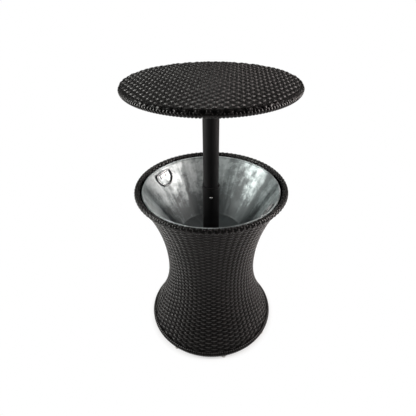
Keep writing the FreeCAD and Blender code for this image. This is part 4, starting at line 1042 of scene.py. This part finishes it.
class Studio(bpy.types.Operator):
    """Lay the floor, hang the lamps and set the camera"""
    bl_idname = "cooler_table.studio"
    bl_label = "Studio"

    def execute(self, context):
        settings = context.scene.cooler_studio
        self.floor(settings)
        self.room(context.scene, settings)
        self.lamps(settings)
        camera = bpy.data.cameras.new("view")
        camera.sensor_width = 36.0
        camera.lens = settings.lens
        made = bpy.data.objects.new("view", camera)
        context.scene.collection.objects.link(made)
        made.location = (0, -settings.camera_distance, settings.camera_height)
        aimed = Euler((QUARTER - settings.camera_tilt, 0, settings.camera_turn)).to_matrix()
        rolled = aimed @ Matrix.Rotation(-settings.camera_roll, 3, "Z")
        made.rotation_euler = rolled.to_euler()
        context.scene.camera = made
        context.scene.view_settings.view_transform = "Standard"
        return {"FINISHED"}

    def floor(self, settings):
        bpy.ops.object.select_all(action="DESELECT")
        bpy.ops.mesh.primitive_circle_add(vertices=128, radius=FLOOR_REACH, fill_type="NGON")
        floor = bpy.context.object
        floor.name = "floor"
        finish = new_finish("floor")
        rays = background_rays(finish, settings.mirrored)[1]
        plain = finish.node("ShaderNodeBsdfDiffuse", None, {"Color": FLOOR_GREY})
        white = finish.node("ShaderNodeEmission", None, {"Color": WHITE, "Strength": 1.0})
        place = finish.place()
        across = finish.part(place, 0)
        along = finish.part(place, 1)
        away = (across * across + along * along).step(SHADOW_NEAR, SHADOW_FAR)
        both = finish.node("ShaderNodeMixShader", None, {0: rays * away, 1: plain, 2: white})
        finish.node("ShaderNodeOutputMaterial", None, {"Surface": both})
        floor.data.materials.append(finish.owner)

    def room(self, scene, settings):
        scene.world = bpy.data.worlds.new("room")
        finish = Finish(scene.world)
        seen, rays = background_rays(finish, settings.mirrored)
        towards = finish.node("ShaderNodeTexCoord", None, None, "Generated")
        depth = finish.part(towards, 1)
        wall = depth.step(-0.8, 0.1, settings.front_shade, 1.0)
        wall = wall * depth.step(0.35, 0.85, 1.0, settings.back_shade)
        level = rays.largest(settings.room_light)
        strength = wall * level * (1.0 - seen) + seen
        light = finish.node("ShaderNodeBackground", None, {"Color": WHITE, "Strength": strength})
        finish.node("ShaderNodeOutputWorld", None, {"Surface": light})

    def lamps(self, settings):
        side = (SIDE_AIM, SIDE_SIZE, settings.side_light)
        back = (BACK_AIM, BACK_SIZE, settings.top_light)
        left = settings.left_tint
        right = settings.right_tint
        area_lamp("left_lamp", LEFT_LAMP, *side, left)
        area_lamp("right_lamp", RIGHT_LAMP, *side, right)
        area_lamp("back_left_lamp", BACK_LEFT_LAMP, *back, left)
        area_lamp("back_right_lamp", BACK_RIGHT_LAMP, *back, right)


class CoolerTablePanel(bpy.types.Panel):
    """The steps that make the table's looks"""
    bl_idname = "VIEW3D_PT_cooler_table"
    bl_label = "Cooler Table"
    bl_space_type = "VIEW_3D"
    bl_region_type = "UI"
    bl_category = "Cooler Table"

    def draw(self, context):
        for step in STEPS:
            self.layout.operator(step.bl_idname)


STEPS = (StandWeavers, StandStakes, RimBorder, FootBorder, TopPanel, TopBorder, BucketShell,
         MetalFinishes, MouldedFinishes, Studio)
GROUPS = (WickerSettings, BucketSettings, StudioSettings)


def register():
    for group in GROUPS + STEPS + (CoolerTablePanel,):
        bpy.utils.register_class(group)
    bpy.types.Scene.cooler_wicker = bpy.props.PointerProperty(type=WickerSettings)
    bpy.types.Scene.cooler_bucket = bpy.props.PointerProperty(type=BucketSettings)
    bpy.types.Scene.cooler_studio = bpy.props.PointerProperty(type=StudioSettings)


def unregister():
    for name in ("cooler_wicker", "cooler_bucket", "cooler_studio"):
        delattr(bpy.types.Scene, name)
    for group in reversed(GROUPS + STEPS + (CoolerTablePanel,)):
        bpy.utils.unregister_class(group)


def main():
    register()
    for step in STEPS:
        group, name = step.bl_idname.split(".")
        getattr(getattr(bpy.ops, group), name)()


if __name__ == "__main__":
    main()
